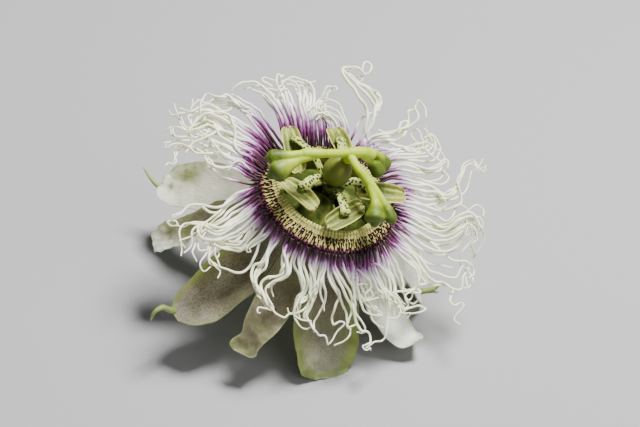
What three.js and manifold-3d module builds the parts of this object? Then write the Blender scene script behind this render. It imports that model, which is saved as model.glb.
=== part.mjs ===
// A passion flower, Passiflora edulis, fully open and picked, lying on a level surface.
//
// Millimetres, +Z up, the surface at z = 0. The flower leans on its own stalk and on the tips of its
// bent-back sepals and petals. Its parts are built upright about the flower's axis, then leaned over
// together. The flower's own origin is the centre of the corona's inner rim, and a place on the flower
// is written [radius, azimuth, height]: millimetres from the axis, degrees about it, and millimetres
// along it.

import * as THREE from 'three';
import { mergeVertices } from 'three/addons/utils/BufferGeometryUtils.js';
import Module from 'manifold-3d';

const wasm = await Module();
wasm.setup();

// How the flower lies
const RING_HEIGHT = 35.5; // centre of the corona's inner rim, above the surface
const LEAN = 19.72; // degrees between the flower's axis and the vertical
const LEAN_HEADING = -23.25; // the way the axis leans, degrees about Z
const SPIN = 5.5; // the flower's turn about its own axis, degrees

const GAP = 0.3; // between pieces that meet

// Cup, and what it holds
const CUP = {
  wallTop: -3.4,
  outerRadius: 11.9,
  innerRadius: 10.9,
  neckRadius: 1.9,
  bottom: -13.6,
  floor: -9.2,
};
const COLUMN = { radius: 1.8, headRadius: 2.6, foot: -8.9, top: 2.1 };
const OVARY = { radius: 3.15, halfLength: 3.8, centre: [0.6, 190, 6.2] };
// The comb slopes down and out from its crest. Each row of pegs has its radius, length and half width.
const COMB = { crest: 12.5, rim: 15.2, rimHeight: -2 };
const PEGS = { count: 40, rows: [[13.0, 1.5, 0.42], [14.4, 2.2, 0.5]], lift: 35, root: 1 };

// Stalk and bracts
const STALK_RADIUS = 1.3;
const STALK_PATH = [[0, 0, -13.9], [0.5, 60, -19], [0.6, 20, -26], [0.4, -60, -32], [0.2, -60, -37.4]];
const BRACT_AZIMUTHS = [30, 150, 270];
const BRACT_PATH = [[1.9, -15.0], [5, -16.2], [9, -18.8], [12.5, -23]];
const BRACT = { halfWidth: 4.6, halfThickness: 0.3 };

// Sepals and petals. Each spine is a list of [radius, height] in the upright plane of its azimuth, from
// its foot under the corona to its tip; a third number is degrees aside from that plane. The awn is the
// green horn behind a sepal's tip. A blade with a roll turns about its spine by so many degrees.
const TEPAL_FOOT = [12.6, -4.4];
const SEPAL = { halfThickness: 0.5, trough: 1.1 };
const PETAL = { halfThickness: 0.35, trough: 0.7 };
const AWN_RADIUS = 0.7;
const SEPALS = [
  {
    azimuth: 162,
    halfWidth: 6.6,
    roll: -30,
    spine: [[14.4, -9], [16.2, -14], [18.9, -18.2], [23.7, -22.3], [33.7, -30.6], [40.1, -36]],
    awn: [[37.5, -34.2], [41.2, -36], [43.6, -35.8], [45.9, -34.9]],
  },
  {
    azimuth: 236,
    halfWidth: 6.3,
    spine: [[13.9, -9], [15.2, -14.4], [17.4, -19], [22.1, -22.6], [26.4, -26.4], [33.8, -29.4]],
    awn: [[31.8, -28.2], [34.6, -27.6], [37.2, -26], [38.9, -26.6], [39.4, -29.2]],
  },
  {
    azimuth: 305.3,
    halfWidth: 7.55,
    spine: [[13.6, -9], [14.2, -14.6], [17.3, -17.6], [23.4, -24.5], [26.8, -27.5], [29.5, -30.9]],
    awn: [[27.2, -28.6], [29.8, -30.6], [32, -31]],
  },
  {
    azimuth: 17,
    halfWidth: 7.5,
    spine: [[15, -8.2], [20.2, -13.8], [23.7, -17.9], [27.5, -21.9], [31, -26.6]],
    awn: [[29.5, -24.9], [32.5, -26.6], [34.6, -24.8]],
  },
  {
    azimuth: 90,
    halfWidth: 6.8,
    spine: [[15, -8.6], [19.5, -13.5], [23.5, -18.5], [27, -23.4], [30.4, -28.6]],
    awn: [[28.4, -25.7], [31, -30], [33.8, -30.6]],
  },
];
const PETALS = [
  {
    azimuth: 202,
    halfWidth: 4.1,
    spine: [[15.2, -8], [19, -12.6], [23.3, -16.8], [27, -20.6], [33.4, -28.3]],
  },
  {
    azimuth: 270,
    halfWidth: 4.0,
    spine: [[14.2, -8.6], [15.8, -13.4], [18.6, -17.4], [23.4, -21.6, -1.5], [30.2, -26.8, -5]],
  },
  {
    azimuth: 342,
    halfWidth: 4.8,
    spine: [[14.8, -8.6], [16.6, -13.4], [19.3, -17], [23.6, -20.1], [33, -22.5], [34.8, -18.8]],
  },
  {
    azimuth: 54,
    halfWidth: 4.3,
    spine: [[14.3, -9], [16.6, -15], [19.6, -21], [22.8, -27], [26.2, -33.2]],
  },
  {
    azimuth: 126,
    halfWidth: 4.3,
    spine: [[15, -8.4], [19, -12.8], [23, -17.4], [27, -22], [30.4, -26.6]],
  },
];

// Stamens: each filament's knee, where it lands on its anther, and the anther's two ends
const ANTHER = { halfWidth: 2.1, halfThickness: 0.8, trough: 0.7 };
const FILAMENT = { halfWidth: 0.85, halfThickness: 0.4 };
const STAMENS = [
  { knee: [6.3, 222, 4.7], landing: [8.9, 230, 2.6], ends: [[11.7, 214, 2.6], [9.5, 266, 2.6]] },
  { knee: [5.8, 299, 4.7], landing: [9.8, 301, 3.1], ends: [[12.5, 283, 2.3], [8.6, 330, 4.0]] },
  { knee: [5.4, 27, 3.9], landing: [8.2, 18, 1.9], ends: [[5.9, 6, 1.5], [16.6, 23, 2.4]] },
  { knee: [6.3, 105, 7.1], landing: [10.9, 106, 4.7], ends: [[15.9, 111, 3.6], [7.2, 95, 5.2]] },
  { knee: [6.8, 168, 6.2], landing: [13.0, 158, 4.0], ends: [[16.0, 155, 5.0], [8.4, 187, 1.9]] },
];

// Styles: each arm forks into the two lobes of its stigma
const STYLE = { radius: 0.95, lobeRadius: 2.0, lobeFoot: 0.8 };
const STYLES = [
  {
    arm: [[1.25, 210, 12.4], [3.6, 221, 12.7], [7.2, 220, 12.8], [10.7, 214, 12.1]],
    lobes: [
      [[10.1, 214, 12.2], [14.3, 214, 11], [17.1, 211, 9.4]],
      [[10.4, 217, 12], [13.7, 221.5, 9.7], [16.5, 224, 7.4]],
    ],
  },
  {
    arm: [[1.25, 310, 12.3], [3.8, 319, 12], [7, 330, 10.8], [9.2, 334, 9.6]],
    lobes: [
      [[8.6, 332, 9.9], [12, 326.8, 8], [15.1, 321, 6.1]],
      [[8.9, 337, 9.8], [12.5, 337.5, 8.2], [15.1, 335.5, 6.6]],
    ],
  },
  {
    arm: [[1.25, 60, 12.4], [2.4, 42, 12.5], [4.2, 40, 12.1], [6.2, 40, 11.3]],
    lobes: [
      [[4.8, 43, 11.9], [8.1, 44, 10.2], [10.7, 35.5, 7.4]],
      [[4.4, 37, 11.5], [6.9, 33, 9.5], [9.1, 26, 7]],
    ],
  },
];

// The long filaments of the corona, gathered into pairs of strands that share a foot. A strand starts
// on the foot at its azimuth, and passes through the places listed.
const CORONA_FOOT = { radius: 16.2, height: -2.8, thickness: 0.55, margin: 3 };
const STRAND = { footRadius: 0.8, tipRadius: 0.35 };
const STRANDS = [
  { foot: 148, path: [[22.6, 157, 1], [27.1, 161, 3], [31.3, 163, 3], [35.3, 173, 0], [40.3, 175, -1]] },
  { foot: 160, path: [[23.4, 169, 1], [29, 168, 2], [32.6, 170, 2.6], [34, 173, 3]] },
  { foot: 172, path: [[22.5, 180, 0], [27.5, 176, 1], [32.1, 175, 1], [38.3, 177, -1]] },
  { foot: 184, path: [[21.8, 187, -1], [26.4, 183, 0], [30.2, 184, 0], [38.5, 191, -2]] },
  { foot: 194, path: [[20.6, 194, -2], [24.6, 192, -1], [28.6, 188, -1], [32.9, 187, -2], [36.7, 197, -4]] },
  { foot: 203, path: [[20.4, 197, -4], [23.6, 197, -4], [26.6, 197, -3], [28.5, 193, -2]] },
  {
    foot: 211,
    path: [[18, 206, -6.5], [21.5, 208, -6.8], [24.5, 215, -6], [30.5, 211, -7.3], [35, 216, -8.5]],
  },
  { foot: 220, path: [[18.5, 213, -8.3], [22, 216, -10.4], [28.5, 215, -11], [33, 221, -12.1]] },
  { foot: 229, path: [[18.5, 224, -9], [23, 227, -10.5], [27, 225, -10.8], [32, 230, -12.8]] },
  { foot: 238, path: [[18, 235, -8.4], [21.5, 235, -10.8], [25, 230, -11.3], [29, 234, -13.3]] },
  {
    foot: 247,
    path: [[17.5, 242, -7.5], [20, 245, -10], [24.5, 246, -12.8], [29, 237, -12.1], [31, 236, -14]],
  },
  { foot: 255, path: [[17.5, 249, -7.3], [20, 252, -10.2], [22, 249, -12.8], [24.5, 263, -14.5]] },
  { foot: 263, path: [[17, 258, -6.5], [19, 264, -8.6], [20.5, 264, -11.3], [23.5, 261, -14.4]] },
  { foot: 271, path: [[17, 264, -5.1], [18.5, 273, -8.4], [22, 281, -13.5], [25.5, 285, -17.4]] },
  { foot: 279, path: [[16.8, 275, -5.3], [18.5, 282, -8.6], [21, 284, -12], [26, 294, -18.9]] },
  { foot: 288, path: [[16.9, 284, -4.8], [18, 289, -7.2], [20, 291, -10.9], [24, 293, -16.4]] },
  { foot: 297, path: [[17.2, 295, -5.5], [19.5, 302, -8.8], [22.5, 310, -13.8], [27, 307, -18.7]] },
  { foot: 306, path: [[17.6, 306, -5.4], [20.5, 313, -9.3], [23, 314, -13.5], [27, 317, -17.2]] },
  { foot: 316, path: [[17.5, 316, -5.4], [21, 324, -9.4], [23, 323, -13.4], [29.5, 329, -18.9]] },
  { foot: 327, path: [[18.5, 330, -4.7], [22.5, 336, -9.6], [26, 339, -14.3], [31, 345, -14]] },
  { foot: 338, path: [[20, 344, -4.9], [23.5, 344, -6.6], [25.5, 344, -10.5]] },
  { foot: 349, path: [[21.7, 359, -6], [25.8, 358, -9], [32.8, 359, -10], [37.6, 4, -8]] },
  { foot: 359, path: [[22.8, 8, -4], [27.8, 6, -5], [32.4, 6, -6], [37.6, 5, -7]] },
  { foot: 368, path: [[22.4, 371, -3], [27.6, 370, -2], [33.2, 375, 0]] },
  { foot: 377, path: [[22.8, 376, -2], [27, 374, 0], [31.5, 377, 3], [35.1, 379, 3]] },
  { foot: 389, path: [[22.8, 387, -1], [26.2, 384, 1], [30.1, 390, 4], [36, 395, 7]] },
  { foot: 401, path: [[21.5, 402, 0], [24.8, 397, 1], [29.1, 399, 3], [27.4, 403, 4]] },
  { foot: 415, path: [[21.7, 415, 1], [25.6, 410, 2], [30.6, 413, 4]] },
  { foot: 430, path: [[23.7, 430, 2], [26.9, 430, 4], [33.3, 433, 8]] },
  { foot: 444, path: [[21.8, 449, 4], [25, 449, 7], [26.2, 458, 10], [26.8, 471, 12]] },
  { foot: 457, path: [[22.6, 456, 5], [25.8, 463, 8], [29.6, 466, 11], [32.4, 461, 11]] },
  { foot: 468, path: [[22, 468, 3], [23.8, 475, 5], [26, 477, 6]] },
  { foot: 480, path: [[20.8, 487, 3], [25.3, 490, 5], [28.1, 485, 6]] },
  { foot: 494, path: [[22.8, 501, 3], [27.4, 506, 5], [30.9, 512, 6]] },
];

const COLOURS = {
  stalk: '#7d8f4e',
  cup: '#5f7a35',
  comb: '#cfcf8e',
  membrane: '#6f8a3c',
  column: '#7f9a45',
  filament: '#a5b95c',
  anther: '#b4c566',
  ovary: '#8c9658',
  style: '#a3c14c',
  sepal: '#d9dfc8',
  petal: '#e9eae0',
  corona: '#c9b6d2',
};

const radians = THREE.MathUtils.degToRad;
const lerp = THREE.MathUtils.lerp;
const smooth = THREE.MathUtils.smoothstep;
const UP = new THREE.Vector3(0, 0, 1);

// The group that leans the upright flower over, at its height above the surface
const flower = new THREE.Group();
const lean = new THREE.Group();
lean.rotation.set(0, radians(LEAN), radians(LEAN_HEADING), 'ZYX');
lean.position.z = RING_HEIGHT;
flower.rotation.z = radians(SPIN);
lean.add(flower);
lean.updateMatrixWorld(true);

// The point at a radius, an azimuth and a height on the flower.
function onFlower([radius, azimuth, height]) {
  const angle = radians(azimuth);
  return new THREE.Vector3(radius * Math.cos(angle), radius * Math.sin(angle), height);
}

// A smooth curve through places on the flower.
function curveThrough(places) {
  return new THREE.CatmullRomCurve3(places.map(onFlower), false, 'centripetal');
}

// Carries a geometry that stands along Y, from -0.5 to 0.5, onto a curve. shape(t, x) gives the half
// width and half depth there, how far the section is raised, and its turn about the curve in radians.
// across is the direction of the width, the same all along, or null where the curve's own frame will do.
function carry(geometry, curve, steps, shape, across = null) {
  const frames = curve.computeFrenetFrames(steps, false);
  const position = geometry.attributes.position;
  for (let i = 0; i < position.count; i += 1) {
    const step = Math.round((position.getY(i) + 0.5) * steps);
    const x = position.getX(i);
    const { width, depth, rise = 0, turn = 0 } = shape(step / steps, x);
    const wide = (across ?? frames.binormals[step]).clone().applyAxisAngle(frames.tangents[step], turn);
    const deep = wide.clone().cross(frames.tangents[step]).normalize();
    const point = curve.getPointAt(step / steps);
    point.addScaledVector(wide, x * width);
    point.addScaledVector(deep, position.getZ(i) * depth + rise);
    position.setXYZ(i, point.x, point.y, point.z);
  }
  geometry.deleteAttribute('normal');
  geometry.deleteAttribute('uv');
  return geometry;
}

// A round tube along a curve, of the radius that radiusAt(t) gives.
function tube(curve, sides, steps, radiusAt) {
  const round = new THREE.CylinderGeometry(1, 1, 1, sides, steps);
  return carry(round, curve, steps, (t) => ({ width: radiusAt(t), depth: radiusAt(t) }));
}

// A flat strip along a curve, with its width across.
function strip(curve, across, columns, steps, shape) {
  return carry(new THREE.BoxGeometry(2, 1, 2, columns, steps, 1), curve, steps, shape, across);
}

// The geometry as a solid that can be joined to others.
function solid(geometry) {
  geometry.deleteAttribute('normal');
  geometry.deleteAttribute('uv');
  const merged = mergeVertices(geometry, 1e-4);
  return new wasm.Manifold(new wasm.Mesh({
    numProp: 3,
    vertProperties: new Float32Array(merged.attributes.position.array),
    triVerts: new Uint32Array(merged.index.array),
  }));
}

// One geometry from several that run into each other.
function join(geometries) {
  const joined = geometries.map(solid).reduce((sum, next) => sum.add(next)).getMesh();
  const geometry = new THREE.BufferGeometry();
  geometry.setAttribute('position', new THREE.BufferAttribute(joined.vertProperties, 3));
  geometry.setIndex(new THREE.BufferAttribute(joined.triVerts, 1));
  return geometry;
}

// Lifts what would lie under the surface, so that a tip rests flat on it. A point less than a thickness
// above the surface, or below it, moves smoothly to between the surface and that thickness.
function settle(geometry, thickness) {
  const toWorld = flower.matrixWorld;
  const fromWorld = toWorld.clone().invert();
  const position = geometry.attributes.position;
  const point = new THREE.Vector3();
  for (let i = 0; i < position.count; i += 1) {
    point.fromBufferAttribute(position, i).applyMatrix4(toWorld);
    if (point.z < thickness) {
      point.z = Math.max(0, thickness * smooth(point.z, -thickness, thickness));
      point.applyMatrix4(fromWorld);
      position.setXYZ(i, point.x, point.y, point.z);
    }
  }
  return geometry;
}

function addMesh(name, geometry, colour, roughness = 0.6) {
  const material = new THREE.MeshStandardMaterial({ color: colour, roughness, metalness: 0 });
  const mesh = new THREE.Mesh(geometry, material);
  mesh.name = name;
  flower.add(mesh);
}

// A body of revolution about the flower's axis, from a profile of [radius, height].
function lathe(profile, segments) {
  const points = profile.map(([radius, height]) => new THREE.Vector2(radius, height));
  return new THREE.LatheGeometry(points, segments).rotateX(Math.PI / 2);
}

function addStalk() {
  const curve = curveThrough(STALK_PATH);
  const stalk = tube(curve, 8, 8, (t) => STALK_RADIUS * lerp(1.15, 1, smooth(t, 0, 0.2)));
  addMesh('pedicel', settle(stalk, 0), COLOURS.stalk);
}

// The curve of a spine, in the upright plane of its azimuth.
function spineCurve(azimuth, spine) {
  return curveThrough(spine.map(([radius, height, aside = 0]) => [radius, azimuth + aside, height]));
}

// The direction of a leaf's width: level, and square to its azimuth. The leaf's inner face looks up where
// the leaf runs outwards.
function acrossAt(azimuth) {
  return onFlower([1, azimuth - 90, 0]);
}

function addBracts() {
  BRACT_AZIMUTHS.forEach((azimuth, index) => {
    const shape = (t, x) => ({
      width: BRACT.halfWidth * lerp(0.3, 1, smooth(t, 0, 0.4)) * lerp(1, 0.12, smooth(t, 0.5, 1)),
      depth: BRACT.halfThickness,
      rise: x * x,
    });
    const bract = strip(spineCurve(azimuth, BRACT_PATH), acrossAt(azimuth), 4, 6, shape);
    addMesh(`bract_${index + 1}`, bract, COLOURS.stalk);
  });
}

// A sepal or petal: narrow at its foot, widest past its middle, with a rounded tip.
function tepal({ azimuth, halfWidth, spine, roll = 0 }, { halfThickness, trough }) {
  const steps = 12;
  const fullTurn = radians(roll);
  const shape = (t, x) => {
    const end = Math.max(0, (t - 0.62) / 0.38);
    const outline = lerp(0.5, 1, smooth(t, 0, 0.5)) * Math.sqrt(1 - 0.9 * end * end);
    return {
      width: halfWidth * outline,
      depth: halfThickness * (1 - 0.4 * x * x),
      rise: trough * x * x * outline,
      turn: fullTurn * smooth(t, 0.1, 0.5),
    };
  };
  return strip(spineCurve(azimuth, [TEPAL_FOOT, ...spine]), acrossAt(azimuth), 4, steps, shape);
}

function addTepals() {
  SEPALS.forEach((sepal, index) => {
    const blade = settle(tepal(sepal, SEPAL), SEPAL.halfThickness);
    const awnRadius = (t) => AWN_RADIUS * lerp(1, 0.5, t);
    const awn = settle(tube(spineCurve(sepal.azimuth, sepal.awn), 6, 5, awnRadius), AWN_RADIUS);
    addMesh(`sepal_${index + 1}`, join([blade, awn]), COLOURS.sepal);
  });
  PETALS.forEach((petal, index) => {
    addMesh(`petal_${index + 1}`, settle(tepal(petal, PETAL), PETAL.halfThickness), COLOURS.petal);
  });
}

// The green cup under the corona, open at its top.
function addCup() {
  const { wallTop, outerRadius, innerRadius, neckRadius, bottom, floor } = CUP;
  addMesh('hypanthium', lathe([
    [0, bottom],
    [neckRadius, bottom],
    [5.5, -12],
    [9.8, -8.2],
    [outerRadius - 0.2, -4.6],
    [outerRadius, wallTop],
    [innerRadius, wallTop],
    [innerRadius - 0.5, -5.4],
    [8.2, -8],
    [4, floor],
    [0, floor],
  ], 32), COLOURS.cup);
}

// The membrane that closes the nectar chamber, sloping down from the cup's wall towards the column.
function addOperculum() {
  addMesh('operculum', lathe([
    [9.9, -5.3],
    [10.1, -4.6],
    [7.6, -5.2],
    [5.2, -6.1],
    [4.2, -6.9],
    [4.2, -7.4],
    [5.2, -6.6],
    [7.6, -5.7],
    [9.9, -5.3],
  ], 24), COLOURS.membrane);
}

// The low ring around the column's foot.
function addLimen() {
  addMesh('limen', lathe([
    [2.4, -8.9],
    [3.3, -8.9],
    [3.4, -7],
    [3, -5.8],
    [2.6, -6.6],
    [2.4, -8.9],
  ], 20), COLOURS.membrane);
}

function addColumn() {
  const { radius, headRadius, foot, top } = COLUMN;
  addMesh('androgynophore', lathe([
    [0, foot],
    [radius, foot],
    [radius - 0.15, -2],
    [radius, 0.4],
    [headRadius, top - 0.7],
    [headRadius - 0.2, top],
    [0, top],
  ], 16), COLOURS.column);
}

// The comb around the cup's mouth, with two rows of short pegs that lean outwards.
function addInnerCorona() {
  const underside = CUP.wallTop + 0.4;
  const collar = lathe([
    [11.2, underside],
    [COMB.rim + 0.1, underside],
    [COMB.rim, COMB.rimHeight],
    [COMB.crest, 0],
    [COMB.crest - 0.5, -0.3],
    [11.2, underside],
  ], PEGS.count);
  const slope = COMB.rimHeight / (COMB.rim - COMB.crest);
  const pegs = PEGS.rows.flatMap(([radius, length, width], row) => (
    Array.from({ length: PEGS.count }, (_, index) => {
      const peg = new THREE.ConeGeometry(width, length + PEGS.root, 4);
      peg.translate(0, (length - PEGS.root) / 2, 0);
      peg.rotateX(Math.PI / 2);
      peg.rotateY(radians(PEGS.lift));
      peg.translate(radius, 0, (radius - COMB.crest) * slope - GAP);
      return peg.rotateZ((2 * Math.PI * (index + row / 2)) / PEGS.count);
    })
  ));
  addMesh('inner_corona', join([collar, ...pegs]), COLOURS.comb);
}

function addOvary() {
  const { radius, halfLength, centre } = OVARY;
  const ovary = new THREE.SphereGeometry(1, 16, 12);
  ovary.rotateX(Math.PI / 2).scale(radius, radius, halfLength).translate(...onFlower(centre));
  addMesh('ovary', ovary, COLOURS.ovary, 0.7);
}

function addStamens() {
  STAMENS.forEach(({ knee, landing, ends }, index) => {
    const [inner, outer] = ends.map(onFlower);
    const middle = inner.clone().lerp(outer, 0.5);
    const along = outer.clone().sub(inner).normalize();
    const sideways = along.clone().cross(UP).normalize();
    const anther = strip(new THREE.LineCurve3(inner, outer), sideways, 2, 6, (t, x) => ({
      width: ANTHER.halfWidth * lerp(0.7, 1, Math.sin(Math.PI * t)),
      depth: ANTHER.halfThickness,
      rise: ANTHER.trough * x * x,
    }));
    addMesh(`anther_${index + 1}`, anther, COLOURS.anther);

    const azimuth = THREE.MathUtils.radToDeg(Math.atan2(middle.y, middle.x));
    const foot = onFlower([COLUMN.headRadius + GAP, azimuth, COLUMN.top - 0.5]);
    const end = onFlower(landing);
    end.z += ANTHER.halfThickness + ANTHER.trough + 2 * GAP + FILAMENT.halfThickness;
    const curve = new THREE.CatmullRomCurve3([foot, onFlower(knee), end], false, 'centripetal');
    const filament = new THREE.CylinderGeometry(1, 1, 1, 6, 6);
    const width = (t) => FILAMENT.halfWidth * lerp(0.8, 1, t);
    const shape = (t) => ({ width: width(t), depth: FILAMENT.halfThickness });
    addMesh(
      `stamen_filament_${index + 1}`,
      carry(filament, curve, 6, shape, acrossAt(azimuth)),
      COLOURS.filament,
    );
  });
}

function addStyles() {
  const { radius, lobeRadius, lobeFoot } = STYLE;
  const lobeRadiusAt = (t) => {
    const swell = lerp(lobeFoot, lobeRadius, smooth(t, 0.1, 0.8));
    return swell * Math.sqrt(1 - 0.75 * Math.max(0, (t - 0.8) / 0.2) ** 2);
  };
  STYLES.forEach(({ arm, lobes }, index) => {
    const armTube = tube(curveThrough(arm), 8, 7, (t) => radius * lerp(0.8, 1.1, t));
    const lobeTubes = lobes.map((lobe) => tube(curveThrough(lobe), 8, 8, lobeRadiusAt));
    addMesh(`style_${index + 1}`, join([armTube, ...lobeTubes]), COLOURS.style, 0.45);
  });
}

function addCoronaLocks() {
  const { radius, height, thickness, margin } = CORONA_FOOT;
  const radiusAt = (t) => lerp(STRAND.footRadius, STRAND.tipRadius, smooth(t, 0, 0.7));
  for (let first = 0; first < STRANDS.length; first += 2) {
    const pair = [STRANDS[first], STRANDS[first + 1]];
    const from = pair[0].foot - margin;
    const to = pair[1].foot + margin;
    const arc = [0, 0.25, 0.5, 0.75, 1].map((t) => [radius, lerp(from, to, t), height]);
    const foot = tube(curveThrough(arc), 4, 4, () => thickness);
    const strands = pair.map(({ foot: azimuth, path }) => (
      tube(curveThrough([[radius, azimuth, height], ...path]), 4, 4 + path.length, radiusAt)
    ));
    const number = String(first / 2 + 1).padStart(2, '0');
    addMesh(`corona_lock_${number}`, join([foot, ...strands]), COLOURS.corona);
  }
}

addStalk();
addBracts();
addCup();
addTepals();
addInnerCorona();
addOperculum();
addLimen();
addColumn();
addStamens();
addOvary();
addStyles();
addCoronaLocks();

// The origin is on the surface, under the middle of the flower's box.
const part = new THREE.Group();
const box = new THREE.Box3().setFromObject(lean, true);
const middle = box.getCenter(new THREE.Vector3());
lean.position.x = -middle.x;
lean.position.y = -middle.y;
part.add(lean);

export default part;
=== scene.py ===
"""A passion flower, picked and lying on a pale surface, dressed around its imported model.

Everything is built in the flower's own frame and then leaned over with it. That frame is in
millimetres: the origin is the centre of the corona's inner rim, +Z runs out along the flower's axis,
and most places are written (radius, azimuth in degrees, height).
"""

import math

import bpy
import numpy as np
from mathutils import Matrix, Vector, noise
from mathutils.kdtree import KDTree

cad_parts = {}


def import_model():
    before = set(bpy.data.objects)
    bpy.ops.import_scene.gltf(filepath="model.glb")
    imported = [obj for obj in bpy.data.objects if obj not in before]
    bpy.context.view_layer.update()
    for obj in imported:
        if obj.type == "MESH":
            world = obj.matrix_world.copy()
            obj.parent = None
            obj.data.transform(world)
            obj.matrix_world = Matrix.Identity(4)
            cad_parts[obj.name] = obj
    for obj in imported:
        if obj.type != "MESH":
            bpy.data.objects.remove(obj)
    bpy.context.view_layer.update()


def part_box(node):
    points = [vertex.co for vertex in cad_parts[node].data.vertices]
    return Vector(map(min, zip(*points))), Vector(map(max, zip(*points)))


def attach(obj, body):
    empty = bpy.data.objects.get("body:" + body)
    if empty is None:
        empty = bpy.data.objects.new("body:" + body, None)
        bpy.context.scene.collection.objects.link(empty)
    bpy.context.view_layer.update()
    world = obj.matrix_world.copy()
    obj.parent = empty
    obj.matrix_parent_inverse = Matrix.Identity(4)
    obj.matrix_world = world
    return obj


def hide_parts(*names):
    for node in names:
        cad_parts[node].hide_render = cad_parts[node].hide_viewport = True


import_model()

MM = 0.001

# How the flower lies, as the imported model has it
LEAN = 19.72
LEAN_HEADING = -23.25
SPIN = 5.5
OVARY_CENTRE = (0.6, 190.0, 6.2)

# The camera, in millimetres about the flower's origin
CAMERA_ELEVATION = 40.0
CAMERA_DISTANCE = 335.8
CAMERA_LENS = 85.0
CAMERA_SENSOR = 36.0
IMAGE_SIZE = (640, 427)
ORIGIN_PIXEL = (331, 190)


# ---------------------------------------------------------------- frames and curves

def turn_z(degrees):
    angle = math.radians(degrees)
    return np.array([
        [math.cos(angle), -math.sin(angle), 0],
        [math.sin(angle), math.cos(angle), 0],
        [0, 0, 1],
    ])


def turn_y(degrees):
    angle = math.radians(degrees)
    return np.array([
        [math.cos(angle), 0, math.sin(angle)],
        [0, 1, 0],
        [-math.sin(angle), 0, math.cos(angle)],
    ])


def polar(radius, azimuth, height):
    """A point of the flower frame."""
    angle = np.radians(azimuth)
    return np.stack(np.broadcast_arrays(radius * np.cos(angle), radius * np.sin(angle), height), -1)


AXES = turn_z(LEAN_HEADING) @ turn_y(LEAN) @ turn_z(SPIN)
OVARY_LOW, OVARY_HIGH = (np.array(corner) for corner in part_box("ovary"))
ORIGIN = (OVARY_LOW + OVARY_HIGH) / 2 - AXES @ (MM * polar(*OVARY_CENTRE))


def world(points):
    """The row frame's metres, from the flower frame's millimetres."""
    return ORIGIN + MM * np.asarray(points, float) @ AXES.T


def upright(points):
    """The flower frame's millimetres, from the row frame's metres."""
    return (np.asarray(points, float) - ORIGIN) @ AXES / MM


def smoothstep(x, low=0.0, high=1.0):
    t = np.clip((np.asarray(x, float) - low) / (high - low), 0, 1)
    return t * t * (3 - 2 * t)


def unit(vectors):
    return vectors / np.maximum(np.linalg.norm(vectors, axis=-1, keepdims=True), 1e-12)


def hermite(knots, values, at):
    """Smooth values at the places asked for, from values at knots."""
    knots = np.asarray(knots, float)
    values = np.asarray(values, float)
    slopes = np.gradient(values, knots, axis=0)
    index = np.clip(np.searchsorted(knots, at) - 1, 0, len(knots) - 2)
    width = knots[index + 1] - knots[index]
    t = (at - knots[index]) / width
    if values.ndim > 1:
        width, t = width[:, None], t[:, None]
    return (
        (2 * t**3 - 3 * t**2 + 1) * values[index]
        + (t**3 - 2 * t**2 + t) * width * slopes[index]
        + (3 * t**2 - 2 * t**3) * values[index + 1]
        + (t**3 - t**2) * width * slopes[index + 1]
    )


def smooth_path(points, count):
    """A smooth curve through the points, as evenly spaced points."""
    points = np.asarray(points, float)
    steps = np.sqrt(np.linalg.norm(np.diff(points, axis=0), axis=1))
    knots = np.concatenate([[0], np.cumsum(steps)])
    fine = hermite(knots, points, np.linspace(0, knots[-1], 12 * len(points)))
    return resample(fine, count)


def lengths(path):
    return np.concatenate([[0], np.cumsum(np.linalg.norm(np.diff(path, axis=0), axis=1))])


def resample(path, count):
    run = lengths(path)
    at = np.linspace(0, run[-1], count)
    return np.stack([np.interp(at, run, path[:, axis]) for axis in range(path.shape[1])], 1)


def path_frames(path):
    """Tangents, normals and binormals that turn as little as they can along a path."""
    tangents = unit(np.gradient(path, axis=0))
    normals = np.empty_like(path)
    normal = np.array([0.0, 0.0, 1.0])
    for i, tangent in enumerate(tangents):
        normal = normal - tangent * (normal @ tangent)
        if np.linalg.norm(normal) < 1e-6:
            normal = np.cross(tangent, (0.3, 0.5, 0.8))
        normal = normal / np.linalg.norm(normal)
        normals[i] = normal
    return tangents, normals, np.cross(tangents, normals)


# ---------------------------------------------------------------- meshes

class Shape:
    """Vertices, faces and per-vertex values that grow piece by piece into one mesh."""

    def __init__(self):
        self.points = []
        self.faces = []
        self.values = {}
        self.count = 0

    def add(self, points, faces, **values):
        points = np.asarray(points, float).reshape(-1, 3)
        self.points.append(points)
        self.faces.extend([tuple(i + self.count for i in face) for face in faces])
        for name, value in values.items():
            value = np.asarray(value, float)
            shape = (len(points),) if value.ndim < 2 else (len(points), 3)
            self.values.setdefault(name, []).append(np.broadcast_to(value, shape))
        self.count += len(points)

    def build(self, name, material):
        mesh = bpy.data.meshes.new(name)
        mesh.from_pydata(world(np.concatenate(self.points)).tolist(), [], self.faces)
        for label, parts in self.values.items():
            data = np.concatenate(parts).astype(np.float32)
            kind = "FLOAT" if data.ndim == 1 else "FLOAT_VECTOR"
            attribute = mesh.attributes.new(label, kind, "POINT")
            attribute.data.foreach_set("value" if data.ndim == 1 else "vector", data.ravel())
        mesh.materials.append(material)
        mesh.polygons.foreach_set("use_smooth", [True] * len(mesh.polygons))
        mesh.update()
        piece = bpy.data.objects.new(name, mesh)
        bpy.context.scene.collection.objects.link(piece)
        return piece


def grid_faces(rows, columns, closed=False, start=0, flip=False):
    """The quads of a grid of rows by columns of points. closed joins each row's end to its start."""
    faces = []
    last = columns if closed else columns - 1
    for i in range(rows - 1):
        for j in range(last):
            k = (j + 1) % columns
            quad = (i * columns + j, i * columns + k, (i + 1) * columns + k, (i + 1) * columns + j)
            quad = tuple(start + n for n in quad)
            faces.append(quad[::-1] if flip else quad)
    return faces


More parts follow.
